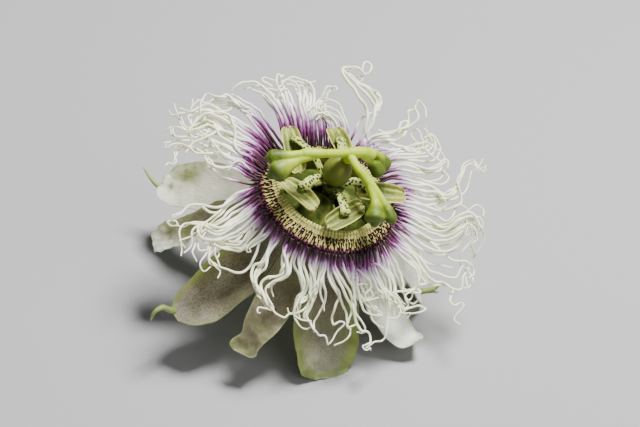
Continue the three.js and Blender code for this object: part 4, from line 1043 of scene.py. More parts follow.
        (67.9, 19.4, 65, -0.3, 21.3, 62, 1, 24.4, 57, 2.1, 26.4, 53, 3.4, 30.3, 57, 3.6, 30.1, 60, 4.1,
         28.3, 60, 4.6),
        (69.6, 19.7, 66, -0.3, 21.8, 64, 0.9, 25.2, 60, 2, 26.6, 57, 3.1, 29.2, 57, 3.2, 30.8, 59, 3.1,
         30, 62, 4.7, 30.2, 64, 4.8),
        (71.3, 20, 68, -0.1, 21.6, 66, 1, 24.9, 62, 2, 26, 60, 3.1, 27.9, 59, 3.6, 30.5, 61, 3.8,
         30.8, 65, 5.6),
        (74.4, 19.9, 72, -0.2, 22.8, 66, 1, 25.5, 59, 2.3, 28.1, 60, 3.4),
        (77.5, 19.9, 76, 0.4, 22.1, 72, 1.4, 24, 62, 1.7, 25.2, 56, 2.8, 27, 57, 2.7, 28.3, 61, 3.5,
         28.6, 66, 4.7, 28, 67, 3.8, 26.9, 66, 3.5, 26.4, 62, 3.7, 27.7, 58, 2.8),
        (79.2, 19.4, 84, 1.7, 21.8, 86, 4.9, 24.4, 88, 6.6, 24.7, 95, 8.4, 26.9, 104, 9.6, 28.4, 109, 10.1,
         30, 107, 10, 29.4, 105, 10.4),
        (80.7, 19.2, 84, 1.2, 22.9, 86, 4.7, 26.6, 87, 6, 27.7, 88, 7.1, 28, 96, 8, 27.6, 101, 9,
         28.6, 104, 9.2),
        (82.2, 19.5, 79, 0.8, 21.4, 75, 1.9, 23.7, 69, 2.4, 24.8, 67, 3.8, 28, 71, 5.1, 29.2, 74, 6.7,
         31.1, 72, 6.4),
        (83.6, 19.1, 85, 1.4, 22.1, 86, 4.8, 26.1, 89, 6.8, 26.4, 94, 8.6, 27, 101, 9, 27.4, 104, 9.8,
         28.9, 107, 9.9, 28.5, 103, 9.4, 28.4, 100, 10.3, 27.4, 100, 9.5),
        (85.1, 18.7, 86, 1.4, 21.1, 89, 5.1, 22.4, 92, 6.3, 22.9, 96, 7.8, 26.2, 108, 9.9, 27.8, 110, 10.5,
         29.4, 109, 10.6, 28.6, 104, 11.8, 28.6, 99, 10.8, 29, 98, 11.5, 30.5, 98, 12.2, 32, 99, 11.7,
         31.4, 101, 11.8, 29.1, 101, 11.7),
        (86.5, 19.7, 81, 1.3, 21.6, 76, 2.4, 24.7, 71, 3.2, 25.9, 69, 4.5, 27.5, 71, 5.3, 26.6, 73, 4.9,
         24.7, 72, 4.3, 22.8, 76, 2.7, 21.8, 80, 3.2),
        (88.1, 17.5, 86, -0.3, 19.7, 83, 0.8, 20.3, 75, -0.1, 22.1, 68, 0.6),
        (89.7, 19.4, 82, 1.5, 21, 78, 2.8, 23, 74, 3.1, 24.6, 70, 4.8, 26.5, 69, 5.2, 28.9, 68, 7.3,
         31.3, 73, 7.4, 32.5, 74, 8.6, 32.8, 71, 7.7, 30.7, 66, 7.6),
    ],
    [
        (92.3, 18.1, 93, 0.5, 21.9, 92, 3.8, 24.4, 87, 6, 27.3, 87, 6.6, 28.5, 90, 7.4, 27.5, 93, 8.2,
         27.4, 97, 8.5),
        (94.1, 18.3, 97, 0.8, 22.3, 108, 5.2, 22.6, 113, 5.5, 23.3, 116, 4.9, 22.4, 119, 4.3),
        (95.8, 18.5, 99, 1.1, 20.9, 108, 4.2, 21.1, 116, 4.8, 20.5, 120, 4.3),
        (97.5, 18.7, 102, 1.1, 19.7, 105, 2.7, 20.5, 112, 3.8, 20.1, 118, 3.5, 18.9, 122, 2.5),
        (100.3, 18.3, 103, -0.4, 20, 109, 2.1, 20.5, 116, 2.5, 20, 120, 2.4),
        (103.1, 17.8, 105, 0.2, 19.1, 107, 1.9, 20.1, 113, 3.2, 20.1, 121, 3.7, 19.4, 125, 2.9),
        (105.3, 17.8, 107, -0.4, 19.4, 110, 1.8, 20.8, 118, 3),
        (107.5, 17.7, 109, -0.2, 19.3, 112, 1.8, 21.3, 119, 3.4, 21.5, 124, 4, 20.8, 127, 3.3),
        (109.6, 18, 111, -0.9, 20.6, 115, 2.1, 22.8, 118, 3.2, 23.3, 120, 4.2),
        (111.7, 18.3, 114, 0.2, 21.3, 116, 3.3, 24.2, 115, 4.7, 25.7, 113, 6.8),
        (113.6, 18.1, 116, 0.2, 22.1, 120, 4, 23.9, 118, 5, 25.5, 116, 6.9, 25.6, 113, 6.6, 25.6, 112, 7.3,
         24.7, 111, 7.5, 24.3, 112, 6.7),
    ],
    [
        (116.1, 18, 118, 0.2, 21.4, 122, 4.1, 23.2, 119, 5.1, 23.8, 116, 6.7),
        (118.9, 18.9, 121, 1.2, 21.3, 123, 3.7, 25.5, 122, 4.8, 27.6, 124, 5.6, 30.1, 129, 4.9,
         28.8, 136, 5.1),
        (121.9, 18.9, 123, 1.1, 22, 125, 3.6, 27, 123, 4.1, 28.6, 127, 4.8, 29.3, 131, 4),
        (123.7, 19.2, 125, 1.4, 21, 127, 3.1, 23.9, 126, 4, 26.4, 125, 4, 27.7, 123, 5.1, 28.8, 120, 5.1),
        (125.4, 19.5, 128, 1.8, 23.2, 129, 4.4, 26, 127, 4.7, 26.8, 128, 5.4, 26.7, 131, 5.5),
        (127.1, 19, 129, 1, 21.6, 131, 2.9, 26.2, 128, 3.5, 27.6, 130, 4.3),
        (128.7, 19.2, 131, 1.5, 22.4, 132, 4.4, 25.2, 131, 5.3, 26.8, 132, 6.2, 27.8, 134, 6.4,
         28.7, 136, 5.5, 26.2, 142, 5.5),
        (130.3, 18.4, 132, 0.3, 21.5, 135, 2.2, 25.5, 136, 2.8, 27.6, 137, 4, 30.3, 135, 3.8),
        (131.9, 19.8, 133, 1.6, 23.7, 131, 3.8, 27.9, 130, 4, 28, 135, 4.5, 27.3, 136, 3.3, 26, 137, 3),
        (133.5, 19.8, 134, 1.6, 23.2, 135, 3.8, 26.5, 135, 4.1, 26.6, 139, 4.8, 25.6, 142, 3.6),
        (135.1, 20.2, 137, 1.7, 22.9, 138, 3.6, 26.3, 139, 4, 27.1, 146, 5.4, 27.6, 149, 4.6),
        (136.7, 20.8, 138, 2.1, 24, 138, 4, 27, 137, 4.4, 28.7, 136, 4.3, 29.5, 137, 5.3, 30.2, 135, 5.6),
        (138.2, 20.5, 139, 1.9, 22.7, 141, 3.7, 27.1, 140, 4.8, 28.6, 140, 5.7, 30.3, 138, 6,
         30.5, 137, 5.6, 29.4, 137, 5.7),
        (139.8, 20.7, 140, 1.4, 23.4, 140, 2.7, 27.5, 139, 2.8, 29.3, 142, 4, 30.9, 144, 4.2,
         32.1, 141, 3.7, 30.9, 140, 4.3, 29.7, 136, 3.4),
    ],
]


def wander(path, rng):
    """Lets a filament waver a little, more towards its end."""
    run = lengths(path)
    _, normals, binormals = path_frames(path)
    shift = np.zeros((len(path), 2))
    for amplitude, wavelength in ((0.13, 8.0), (0.05, 3.4)):
        for column in range(2):
            phase = rng.uniform(0, 2 * math.pi)
            wave = wavelength * rng.uniform(0.8, 1.3)
            shift[:, column] += amplitude * np.sin(2 * math.pi * run / wave + phase)
    grow = smoothstep(run, 1.5, 9.0)[:, None]
    return path + grow * (shift[:, :1] * normals + shift[:, 1:] * binormals)


def settle(paths, clearance, rounds):
    """Pushes filaments apart where they cross, towards lying on each other and not in each other."""
    stack = np.array(paths)
    count = stack.shape[1]
    hold = smoothstep(np.arange(count), 1.0, 8.0)[:, None]
    for _ in range(rounds):
        points = stack.reshape(-1, 3)
        tree = KDTree(len(points))
        for index, point in enumerate(points):
            tree.insert(point, index)
        tree.balance()
        push = np.zeros_like(points)
        for index, point in enumerate(points):
            for place, other, distance in tree.find_range(point, clearance):
                if other // count != index // count:
                    away = point - np.array(place)
                    push[index] += away * (clearance - distance) / max(distance, 1e-6)
        push = push.reshape(stack.shape) * SETTLE_SHARE
        for _ in range(4):
            push[:, 1:-1] = (push[:, :-2] + 2 * push[:, 1:-1] + push[:, 2:]) / 4
        stack = stack + np.clip(push, -SETTLE_MOST, SETTLE_MOST) * hold
    return list(stack)


# How far from its foot a filament has turned white, in millimetres, by the azimuth of the foot, as judged
WHITE_FROM = [
    (0, 4.5), (14, 3.5), (37, 4.2), (60, 4.8), (76, 5.7), (100, 5.3), (110, 5.2), (128, 6.8), (150, 8.2),
    (160, 7.8), (172, 6.5), (187, 5.2), (200, 4.4), (215, 4.0), (238, 4.0), (268, 3.0), (288, 3.2),
    (300, 4.4), (320, 5.4), (340, 4.2), (360, 4.5),
]
USUAL_WHITE = 5.5


def lay_filaments(rng):
    """The paths of all the filaments, each with the azimuth of its foot."""
    paths, feet = [], []
    for number, (foot, *places) in enumerate(strand for lock in LOCKS for strand in lock):
        radius, height = RING_ROWS[number % 2]
        places = [polar(*place) for place in np.reshape(places, (-1, 3))]
        paths.append(wander(smooth_path([polar(radius, foot, height), *places], FILAMENT_POINTS), rng))
        feet.append(foot % 360)
    return settle(paths, FILAMENT_GAP, SETTLE_ROUNDS), feet


def short_filament(path, beside, shrink, rng):
    """A short filament between two long ones, and a little under them."""
    reach = rng.uniform(*SHORT_REACH) * shrink
    share = rng.uniform(0.35, 0.65)
    sample = np.linspace(0, reach, SHORT_POINTS)
    both = []
    for long_path in (path, beside):
        run = lengths(long_path)
        both.append(np.stack([np.interp(sample, run, long_path[:, k]) for k in range(3)], 1))
    t = np.linspace(0, 1, SHORT_POINTS)
    middle = both[0] * (1 - share) + both[1] * share
    middle[:, 2] -= 0.25 + rng.uniform(0.2, 1.0) * t
    return middle


def make_corona_locks(material):
    """Filaments are thicker at the left of the photo and in the tall lock at the back, and the short ones
    between them are shortest in front."""
    rng = np.random.default_rng(7)
    paths, feet = lay_filaments(rng)
    start = 0
    for number, lock in enumerate(LOCKS, 1):
        shape = Shape()
        for index in range(start, start + len(lock)):
            path = paths[index]
            white = np.interp(feet[index], *zip(*WHITE_FROM))
            run = lengths(path)
            share = run / run[-1]
            front = np.exp(-((feet[index] - 250.0) / 28.0) ** 2)
            left = np.exp(-((feet[index] - 150.0) / 25.0) ** 2)
            back = np.exp(-((feet[index] - 82.5) / 4.0) ** 2)
            size = rng.uniform(0.88, 1.10) * (1 - 0.03 * front + 0.18 * left + 0.40 * back)
            radii = size * (0.24 + 0.065 * smoothstep(run, 0.5, 4.0) - 0.125 * smoothstep(share, 0.45, 1.0))
            tube(shape, path, radii, FILAMENT_SIDES, reach=run * USUAL_WHITE / white, tint=rng.uniform(-1, 1))
            shrink = 1 - 0.45 * np.exp(-((feet[index] - 262.0) / 35.0) ** 2)
            short = short_filament(path, paths[(index + 1) % len(paths)], shrink, rng)
            run = lengths(short)
            radii = SHORT_RADIUS - 0.16 * smoothstep(run / run[-1], 0.35, 1.0)
            tube(shape, short, radii, SHORT_SIDES, reach=run * SHORT_PACE, tint=rng.uniform(-1, 0.4))
        start += len(lock)
        node = f"corona_lock_{number:02d}"
        finish_piece(shape.build(f"{node}_filaments", material), "corona", node)


# Rows of pegs on the comb: the radius of their feet; length; lift above the comb's slope in degrees;
# radius; and the share of each that is dark, from its tip, which is over 1 where its foot is dark too
PEG_ROWS = [
    (12.0, 2.4, -2.0, 0.36, 0.42),
    (13.2, 1.9, 3.0, 0.20, 1.05),
    (13.9, 2.1, 8.0, 0.20, 1.05),
    (14.5, 1.9, 10.0, 0.20, 0.90),
    (15.1, 1.8, 9.0, 0.20, 1.05),
]
PEGS_IN_ROW = 104
PEG_POINTS = 10
PEG_SIDES = 8
COMB_CREST = (12.0, 0.1)
COMB_RIM = (15.3, -2.3)


def comb_height(radius):
    slope = (COMB_RIM[1] - COMB_CREST[1]) / (COMB_RIM[0] - COMB_CREST[0])
    return COMB_CREST[1] + slope * (radius - COMB_CREST[0])


def make_comb(material):
    rng = np.random.default_rng(3)
    shape = Shape()
    profile = [
        (11.2, -3.3), (15.6, -3.4), (15.9, -2.95), (15.3, -2.5), (14.3, -1.8), (13.3, -1.1), (12.5, -0.5),
        (12.1, -0.25), (11.75, -0.35), (11.4, -1.2), (11.2, -2.2), (11.2, -3.3),
    ]
    # The ground between the pegs carries some painted shade
    lathe(shape, profile, sides=180, tip=smoothstep(np.array(profile)[:, 0], 14.9, 15.8), shade=0.4)
    slope = math.degrees(math.atan2(COMB_CREST[1] - COMB_RIM[1], COMB_RIM[0] - COMB_CREST[0]))
    t = np.linspace(0, 1, PEG_POINTS)
    for row, (foot_radius, length, lift, thick, dark) in enumerate(PEG_ROWS):
        for i in range(PEGS_IN_ROW):
            azimuth = 360 * (i + 0.5 * row) / PEGS_IN_ROW + rng.uniform(-0.5, 0.5) * (1 + 0.6 * row)
            radius = foot_radius + rng.uniform(-0.08, 0.08) * (1 + row)
            size = length * rng.uniform(0.86, 1.14)
            tilt = math.radians(-slope + lift + rng.uniform(-3, 3) * (1 + row))
            sway = rng.uniform(-2.5, 2.5) * (0.3 + 0.5 * row)
            out = radius + size * t * math.cos(tilt)
            height = comb_height(radius) - 0.12 + size * t * math.sin(tilt) - 0.12 * row * t**2
            path = polar(out, azimuth + sway * t**2, height)
            radii = thick * rng.uniform(0.85, 1.1) * (1 - 0.78 * t**1.2)
            tip = smoothstep(t, 1.0 - dark, 1.25 - dark) * rng.uniform(0.9, 1.0)
            # Painted shade at each peg's foot, fading towards its tip
            tube(shape, path, radii, PEG_SIDES, tip=np.clip(tip, 0, 1), shade=0.6 * (1 - t))
        if row == 0:
            add_comb_lip(shape, rng)
    finish_piece(shape.build("inner_corona_comb", material), "comb", "inner_corona")


def add_comb_lip(shape, rng):
    """The ridges' inner ends, which turn down over the mouth of the cup."""
    for i in range(PEGS_IN_ROW):
        azimuth = 360 * i / PEGS_IN_ROW + rng.uniform(-0.3, 0.3)
        drop = rng.uniform(0.9, 1.1)
        path = smooth_path([
            polar(12.5, azimuth, comb_height(12.5) - 0.1),
            polar(11.95, azimuth, -0.05),
            polar(11.5, azimuth, -0.5 * drop),
            polar(11.3, azimuth, -1.5 * drop),
        ], 9)
        # Painted shade that deepens as the lip turns down into the cup
        tube(shape, path, 0.33, PEG_SIDES, tip=0.0, shade=np.linspace(0.1, 0.9, len(path)))


# ---------------------------------------------------------------- cup, column and stalk

def ribbed(count, depth):
    """A ripple for a lathe: count soft ribs around it."""
    def ripple(radius, azimuths, height):
        push = depth * np.cos(np.radians(azimuths * count)) * smoothstep(radius, 2.0, 9.0)
        return radius + push, height
    return ripple


def make_cup():
    skin = green_material("cup_skin", (0.15, 0.20, 0.035), (0.045, 0.062, 0.012), roughness=0.7,
                          specular=0.1, subsurface=0.1)
    shape = Shape()
    t = np.linspace(0, 1, 26)
    outside = smooth_path([
        (0.05, -13.6), (2.0, -13.6), (5.6, -12.1), (9.8, -8.3), (11.7, -5.0), (11.9, -3.5),
    ], 26)
    inside = smooth_path([(11.4, -2.6), (10.9, -4.2), (10.3, -5.6), (8.2, -8.0), (4, -9.2), (0.05, -9.2)], 26)
    # Painted shade: the cup's inside darkens towards its floor
    lathe(shape, np.concatenate([outside, inside]), ripple=ribbed(10, 0.18),
          deep=np.concatenate([0.35 + 0 * t, 0.2 + 0.8 * t]))
    finish_piece(shape.build("hypanthium_cup", skin), "cup", "hypanthium")


# The swollen fold at the front of the membrane: its crest, and the line where it rises from the membrane,
# as (radius, azimuth, height)
FOLD_CREST = [
    (3.0, 256, 0.3), (3.4, 278, 0.2), (4.5, 288, -0.4), (5.9, 286, -1.3), (7.6, 280, -2.5),
    (8.9, 275, -3.5),
]
FOLD_BASE = [
    (4.9, 192, -3.0), (7.1, 212, -3.2), (8.4, 226, -3.3), (8.6, 241, -3.4), (8.9, 256, -3.6),
    (9.3, 267, -4.0),
]
FOLD_SWELL = 0.9
FOLD_CURL = 0.65
FOLD_TURN = math.radians(150)
FOLD_HALF_THICKNESS = 0.12
FOLD_TOP = 0.75


def add_fold(shape):
    """A thin sheet that rises from the membrane to a crest and curls over behind it, with painted shade all
    over except for a painted highlight along the crest.
    """
    rows, columns = 40, 36
    crest = smooth_path([polar(*place) for place in FOLD_CREST], columns)
    base = smooth_path([polar(*place) for place in FOLD_BASE], columns)
    t = np.linspace(0, 1, rows)[:, None, None]
    rise = np.minimum(t / FOLD_TOP, 1)
    turn = np.maximum((t - FOLD_TOP) / (1 - FOLD_TOP), 0) * FOLD_TURN
    away = unit((crest - base) * (1, 1, 0))
    middle = base * (1 - rise) + crest * rise + away * FOLD_CURL * np.sin(turn)
    lift = FOLD_SWELL * np.sin(math.pi * rise) + FOLD_CURL * (np.cos(turn) - 1)
    middle = middle + lift * np.array([0, 0, 1])
    normal = unit(np.cross(np.gradient(middle, axis=0), np.gradient(middle, axis=1)))
    sides = [middle + side * FOLD_HALF_THICKNESS * normal for side in (1, -1)]
    points = np.concatenate([sheet.reshape(-1, 3) for sheet in sides])
    # Painted shade over the sheet, with a painted highlight along its crest
    deep = 0.88 - 0.88 * np.exp(-((t[:, 0] - 0.80) / 0.10) ** 2)
    shape.add(points, sheet_faces(rows, columns), deep=np.tile(deep.repeat(columns, 1).ravel(), 2))


def puckered(radius, azimuths, height):
    """A ripple for the fold's inner edge, which is puckered and swells towards one side."""
    near = 1 - smoothstep(radius, 4.6, 9.0)
    lobe = np.exp(-((azimuths - 250.0) / 38.0) ** 2)
    push = 0.14 * np.cos(np.radians(azimuths * 9)) + 0.08 * np.cos(np.radians(azimuths * 23 + 40))
    return radius + (push - 1.1 * lobe) * near, height + 1.3 * lobe * (1 - smoothstep(radius, 5.5, 10.5))


def make_membranes():
    skin = green_material("membrane_skin", (0.17, 0.20, 0.04), (0.028, 0.042, 0.007), roughness=0.8,
                          specular=0.05, subsurface=0.0)
    shape = Shape()
    loop = smooth_path([
        (10.6, -5.0), (9.6, -4.0), (8.2, -3.2), (6.6, -2.7), (5.2, -2.6), (4.4, -2.9), (4.1, -3.6),
        (4.5, -4.4), (6.0, -4.9), (8.2, -5.4), (10.2, -5.6), (10.6, -5.3),
    ], 72)
    # A painted highlight along the membrane's crest, and painted shade over the rest of it
    crest = np.exp(-(np.hypot(loop[:, 0] - 4.7, loop[:, 1] + 2.6) / 0.7) ** 2)
    lathe(shape, np.concatenate([loop, loop[:1]])[::-1], ripple=puckered,
          deep=1 - np.append(crest, crest[0])[::-1])
    add_fold(shape)
    finish_piece(shape.build("operculum_fold", skin), "membrane", "operculum")
    shape = Shape()
    loop = smooth_path([
        (2.4, -8.9), (3.3, -8.9), (3.4, -7.0), (3.0, -5.9), (2.6, -6.6), (2.4, -8.0), (2.4, -8.9),
    ], 40)
    lathe(shape, loop, sides=72, deep=0.4)
    finish_piece(shape.build("limen_ring", skin), "membrane", "limen")


def make_column():
    skin = green_material("column_skin", (0.10, 0.14, 0.025), (0.045, 0.065, 0.012), speckled=True)
    shape = Shape()
    profile = smooth_path([
        (0.05, -8.9), (1.9, -8.9), (1.7, -2), (1.85, 0.4), (2.5, 1.4), (2.6, 2.0), (0.05, 2.5),
    ], 40)
    lathe(shape, profile, sides=64, deep=0.5, spots=0.8)
    finish_piece(shape.build("androgynophore_column", skin), "column", "androgynophore")


OVARY_RADIUS = 3.2
OVARY_HALF_HEIGHT = 3.85


def make_ovary():
    skin = green_material("ovary_skin", (0.150, 0.175, 0.018), (0.085, 0.100, 0.009), scale=260.0,
                          roughness=0.6)
    shape = Shape()
    angle = np.linspace(-math.pi / 2 + 0.02, math.pi / 2 - 0.02, 48)
    radius = OVARY_RADIUS * np.cos(angle) * (1 - 0.04 * np.sin(angle))
    height = OVARY_CENTRE[2] + OVARY_HALF_HEIGHT * np.sin(angle)
    lathe(shape, np.stack([radius, height], 1), sides=72, centre=polar(*OVARY_CENTRE[:2], 0.0), deep=0.4)
    finish_piece(shape.build("ovary_body", skin), "ovary", "ovary")


STALK_RADIUS = 1.3
STALK_PATH = [(0, 0, -13.4), (0.5, 60, -19), (0.6, 20, -26), (0.4, -60, -32), (0.2, -60, -37.4)]
BRACT_AZIMUTHS = (30, 150, 270)
BRACT_SPINE = [(1.7, -15.0), (5, -16.2), (9, -18.8), (12.8, -23.4)]


def make_stalk():
    skin = green_material("stalk_skin", (0.34, 0.42, 0.13), (0.20, 0.28, 0.07), roughness=0.55)
    shape = Shape()
    path = smooth_path([polar(*place) for place in STALK_PATH], 60)
    t = np.linspace(0, 1, 60)
    swell = STALK_RADIUS * (1 + 0.25 * np.exp(-t / 0.06) + 0.08 * np.exp(-((t - 0.1) / 0.03) ** 2))
    tube(shape, rest_on_floor(path, STALK_RADIUS), swell, sides=28, domed=False, deep=0.3)
    finish_piece(shape.build("pedicel_stalk", skin), "stalk", "pedicel")
    for i, azimuth in enumerate(BRACT_AZIMUTHS):
        shape = Shape()
        add_bract(shape, azimuth, seed=i)
        node = f"bract_{i + 1}"
        finish_piece(shape.build(f"{node}_leaf", skin), "stalk", node)


def add_bract(shape, azimuth, seed):
    """A small toothed leaf under the flower."""
    rows, columns = 60, 25
    spine = np.array(BRACT_SPINE)
    path = smooth_path(polar(spine[:, 0], azimuth, spine[:, 1]), rows)
    t = np.linspace(0, 1, rows)
    tangent = unit(np.gradient(path, axis=0))
    side = polar(1.0, azimuth + 90.0, 0.0)
    up = unit(np.cross(tangent, side))
    v = np.linspace(-1, 1, columns)
    half = 4.5 * np.sin(math.pi * np.clip(t, 0, 1) ** 0.75) ** 0.8 + 0.5 * (1 - t)
    teeth = 0.35 * np.abs(np.sin(t * 26)) * smoothstep(t, 0.1, 0.3)
    across = v[None, :] * half[:, None] + np.sign(v) * np.abs(v)[None, :] ** 8 * teeth[:, None]
    rise = 1.2 * v[None, :] ** 2 + 0.3 * np.sin(9 * t[:, None] + seed + 2 * v[None, :]) * np.abs(v)[None, :]
    vein = 0.08 * np.exp(-(across / 0.35) ** 2)
    sheets = []
    for sign in (1, -1):
        lift = rise + sign * (0.18 - 0.1 * v[None, :] ** 2) - (vein if sign < 0 else 0)
        sheets.append(path[:, None, :] + side * across[..., None] + up[:, None, :] * lift[..., None])
    points = np.concatenate([sheet.reshape(-1, 3) for sheet in sheets])
    shape.add(points, sheet_faces(rows, columns), deep=np.repeat([0.5, 0.2], rows * columns))


# ---------------------------------------------------------------- stamens

# Each stamen: the azimuth of its filament's root; as (radius, azimuth, height), the filament's knee, where
# it lands on its anther, the anther's inner and outer end, and the way its back faces; and shade, painted
# shade that makes the anther darker than the others
STAMENS = [
    dict(root=197, knee=(6.1, 217, 3.5), landing=(8.7, 229, 3.1), ends=((11.7, 214, 2.6), (9.6, 260, 2.6)),
         facing=(0.12, 262, 1.0)),
    dict(root=300, knee=(5.6, 299, 4.0), landing=(9.7, 300.5, 3.6), ends=((12.5, 283, 2.3), (8.6, 330, 4.0)),
         facing=(0.60, 285, 1.0), shade=0.25),
    dict(root=32, knee=(5.2, 28, 3.7), landing=(8.0, 19, 2.6), ends=((5.7, 16, 2.1), (16.6, 23, 2.1)),
         facing=(0.55, 262, 1.0)),
    dict(root=100, knee=(6.3, 105, 6.4), landing=(10.9, 107, 5.1), ends=((15.9, 111, 3.6), (7.2, 95, 5.2)),
         facing=(0.35, 262, 1.0)),
    dict(root=172, knee=(6.8, 169, 5.8), landing=(13.2, 158, 4.3), ends=((16.0, 155, 5.0), (8.4, 187, 1.9)),
         facing=(0.35, 262, 1.0)),
]
ANTHER_HALF_WIDTH = 2.25
ANTHER_ROWS = 48
ANTHER_AROUND = 64


def add_anther(shape, inner, outer, facing, shade, seed):
    """A canoe of two pollen sacs, ridged along its back, with thin pale edges and ragged square ends."""
    rows, around = ANTHER_ROWS, ANTHER_AROUND
    path = np.linspace(inner, outer, rows)
    along = unit(outer - inner)
    side = unit(np.cross(along, facing))
    up = np.cross(side, along)
    rng = np.random.default_rng(seed)
    t = np.linspace(0, 1, rows)
    angle = np.linspace(0, 2 * math.pi, around, endpoint=False)
    x = np.sign(np.cos(angle)) * np.abs(np.cos(angle)) ** 0.75
    top = np.sin(angle) > 0
    width = ANTHER_HALF_WIDTH * (0.80 + 0.20 * np.sin(math.pi * t) ** 0.8)
    width = width * np.sqrt(np.clip(1 - (2 * t - 1) ** 18, 0.30, 1))
    ridges = 0.17 * np.cos((np.abs(x) - 0.36) * 11.0) * np.exp(-((np.abs(x) - 0.36) / 0.4) ** 2)
    edge = 0.85 * np.abs(x) ** 3.0
    hollow = np.sqrt(np.clip(1 - x**2, 0, 1))
    upper = edge + 0.16 * hollow + ridges
    lower = edge - (0.95 + 0.22 * np.cos(x * 2 * math.pi)) * hollow
    profile = np.where(top, upper, lower)
    dish = -0.6 * np.exp(-((t - 0.5) / 0.24) ** 2)[:, None] * np.exp(-(x / 0.6) ** 2)[None, :] * top[None, :]
    bend = 0.5 * (2 * t - 1) ** 2
    taper = (0.62 + 0.38 * np.sqrt(np.sin(math.pi * np.clip(t, 0.03, 0.97))))[:, None]
    height = profile[None, :] * taper + dish - bend[:, None]
    ends = smoothstep(t, 0.86, 1.0)[:, None] - smoothstep(1 - t, 0.86, 1.0)[:, None]
    ragged = 0.55 * (1 - np.exp(-(x / 0.22) ** 2)) - 0.25 * x**2
    ragged = ragged + 0.16 * np.sin(x * 9 + rng.uniform(0, 6)) + 0.10 * np.sin(x * 17 + rng.uniform(0, 6))
    points = (
        path[:, None, :]
        + side * (x[None, :] * width[:, None])[..., None]
        + up * height[..., None]
        + along * (ends * ragged[None, :])[..., None]
    )
    points = points + 0.07 * wobble(points, 0.9, seed)[..., None] * up
    caps = np.stack([points[0].mean(0) + 0.25 * along, points[-1].mean(0) - 0.25 * along])
    faces = grid_faces(rows, around, closed=True)
    first, last, base = rows * around, rows * around + 1, (rows - 1) * around
    faces += [(first, (j + 1) % around, j) for j in range(around)]
    faces += [(last, base + j, base + (j + 1) % around) for j in range(around)]
    end_rim = np.maximum(1 - smoothstep(t, 0.0, 0.04), smoothstep(t, 0.96, 1.0))
    rim = np.maximum(smoothstep(np.abs(x), 0.86, 0.97)[None, :], 0.7 * end_rim[:, None])
    below = np.where(top, 0.0, 0.35)
    rim = np.clip(np.maximum(rim, below[None, :]), 0, 1)
    # Painted shade in the hollow centre and in the grooves between the ridges, over a darker green of its own
    centre = np.exp(-((t - 0.46) / 0.25) ** 2)[:, None] * np.exp(-(x / 0.9) ** 4)[None, :]
    deep = np.clip(1.1 * centre * top[None, :] + (0.35 + shade - 3.2 * ridges)[None, :] * top[None, :], 0, 1)
    shape.add(
        np.concatenate([points.reshape(-1, 3), caps]),
        faces,
        rim=np.append(rim.ravel(), [0.6, 0.6]),
        deep=np.append(deep.ravel(), [0.5, 0.5]),
    )


def make_stamens():
    skin = anther_material()
    stalk = green_material("stamen_skin", (0.46, 0.54, 0.14), (0.24, 0.33, 0.05), speckled=True)
    for i, stamen in enumerate(STAMENS):
        inner, outer = (polar(*end) for end in stamen["ends"])
        shape = Shape()
        add_anther(shape, inner, outer, polar(*stamen["facing"]), stamen.get("shade", 0.0), seed=i)
        node = f"anther_{i + 1}"
        finish_piece(shape.build(f"{node}_body", skin), "anther", node)
        landing = polar(*stamen["landing"])
        path = smooth_path([
            polar(1.6, stamen["root"], 2.0),
            polar(3.1, stamen["root"], 2.9),
            polar(*stamen["knee"]),
            landing + (0, 0, 0.35),
            landing - (0, 0, 0.1),
        ], 40)
        t = np.linspace(0, 1, 40)
        shape = Shape()
        wide = 0.92 + 0.18 * t + 0.18 * np.exp(-((t - 0.94) / 0.08) ** 2)
        tube(shape, path, wide, sides=22, flat=0.45, deep=0.25 + 0.3 * t,
             spots=np.clip(1.25 - 0.35 * t, 0, 1))
        node = f"stamen_filament_{i + 1}"
        finish_piece(shape.build(f"{node}_strap", stalk), "filament", node)


# ---------------------------------------------------------------- styles

# Each style: its arm; its radius; and the two lobes of its stigma, each with its radius. Places are
# (radius, azimuth, height).
STYLES = [
    dict(
        arm=[(0.45, 60, 9.9), (0.3, 60, 12.0), (3.6, 221, 12.6), (7.2, 220, 12.8), (10.7, 216, 12.3)],
        thick=0.95,
        lobes=[([(8.8, 217, 12.6), (14.4, 215.2, 11.4), (18.0, 212.6, 9.6)], 1.75),
               ([(6.6, 219.5, 12.6), (10.6, 220.4, 11.6), (14.2, 222.0, 10.0), (17.7, 223.5, 8.0)], 2.5)],
    ),
    dict(
        arm=[(0.45, 60, 9.9), (0.3, 60, 11.6), (3.8, 321, 11.8), (7.0, 330.5, 10.7), (9.2, 334, 9.6)],
        thick=0.98,
        lobes=[([(7.4, 331, 10.6), (11.6, 327.0, 8.2), (15.2, 319.5, 6.3)], 2.4),
               ([(7.6, 333, 10.6), (13.0, 335.8, 8.2), (16.9, 334.0, 6.4)], 1.45)],
    ),
    dict(
        arm=[(0.45, 60, 9.9), (0.3, 60, 12.0), (1.9, 38, 12.5), (4.0, 40, 12.1), (5.8, 40, 11.4)],
        thick=1.25,
        lobes=[([(3.4, 40, 12.2), (8.1, 44.4, 10.2), (10.9, 35.5, 7.4)], 1.9),
               ([(3.2, 36, 12.0), (6.6, 31, 9.5), (9.2, 26.0, 7.0)], 1.75)],
    ),
]
STYLE_VOXEL = 0.17 * MM
STYLE_RELAXED = 6
LOBE_NECK = 0.86


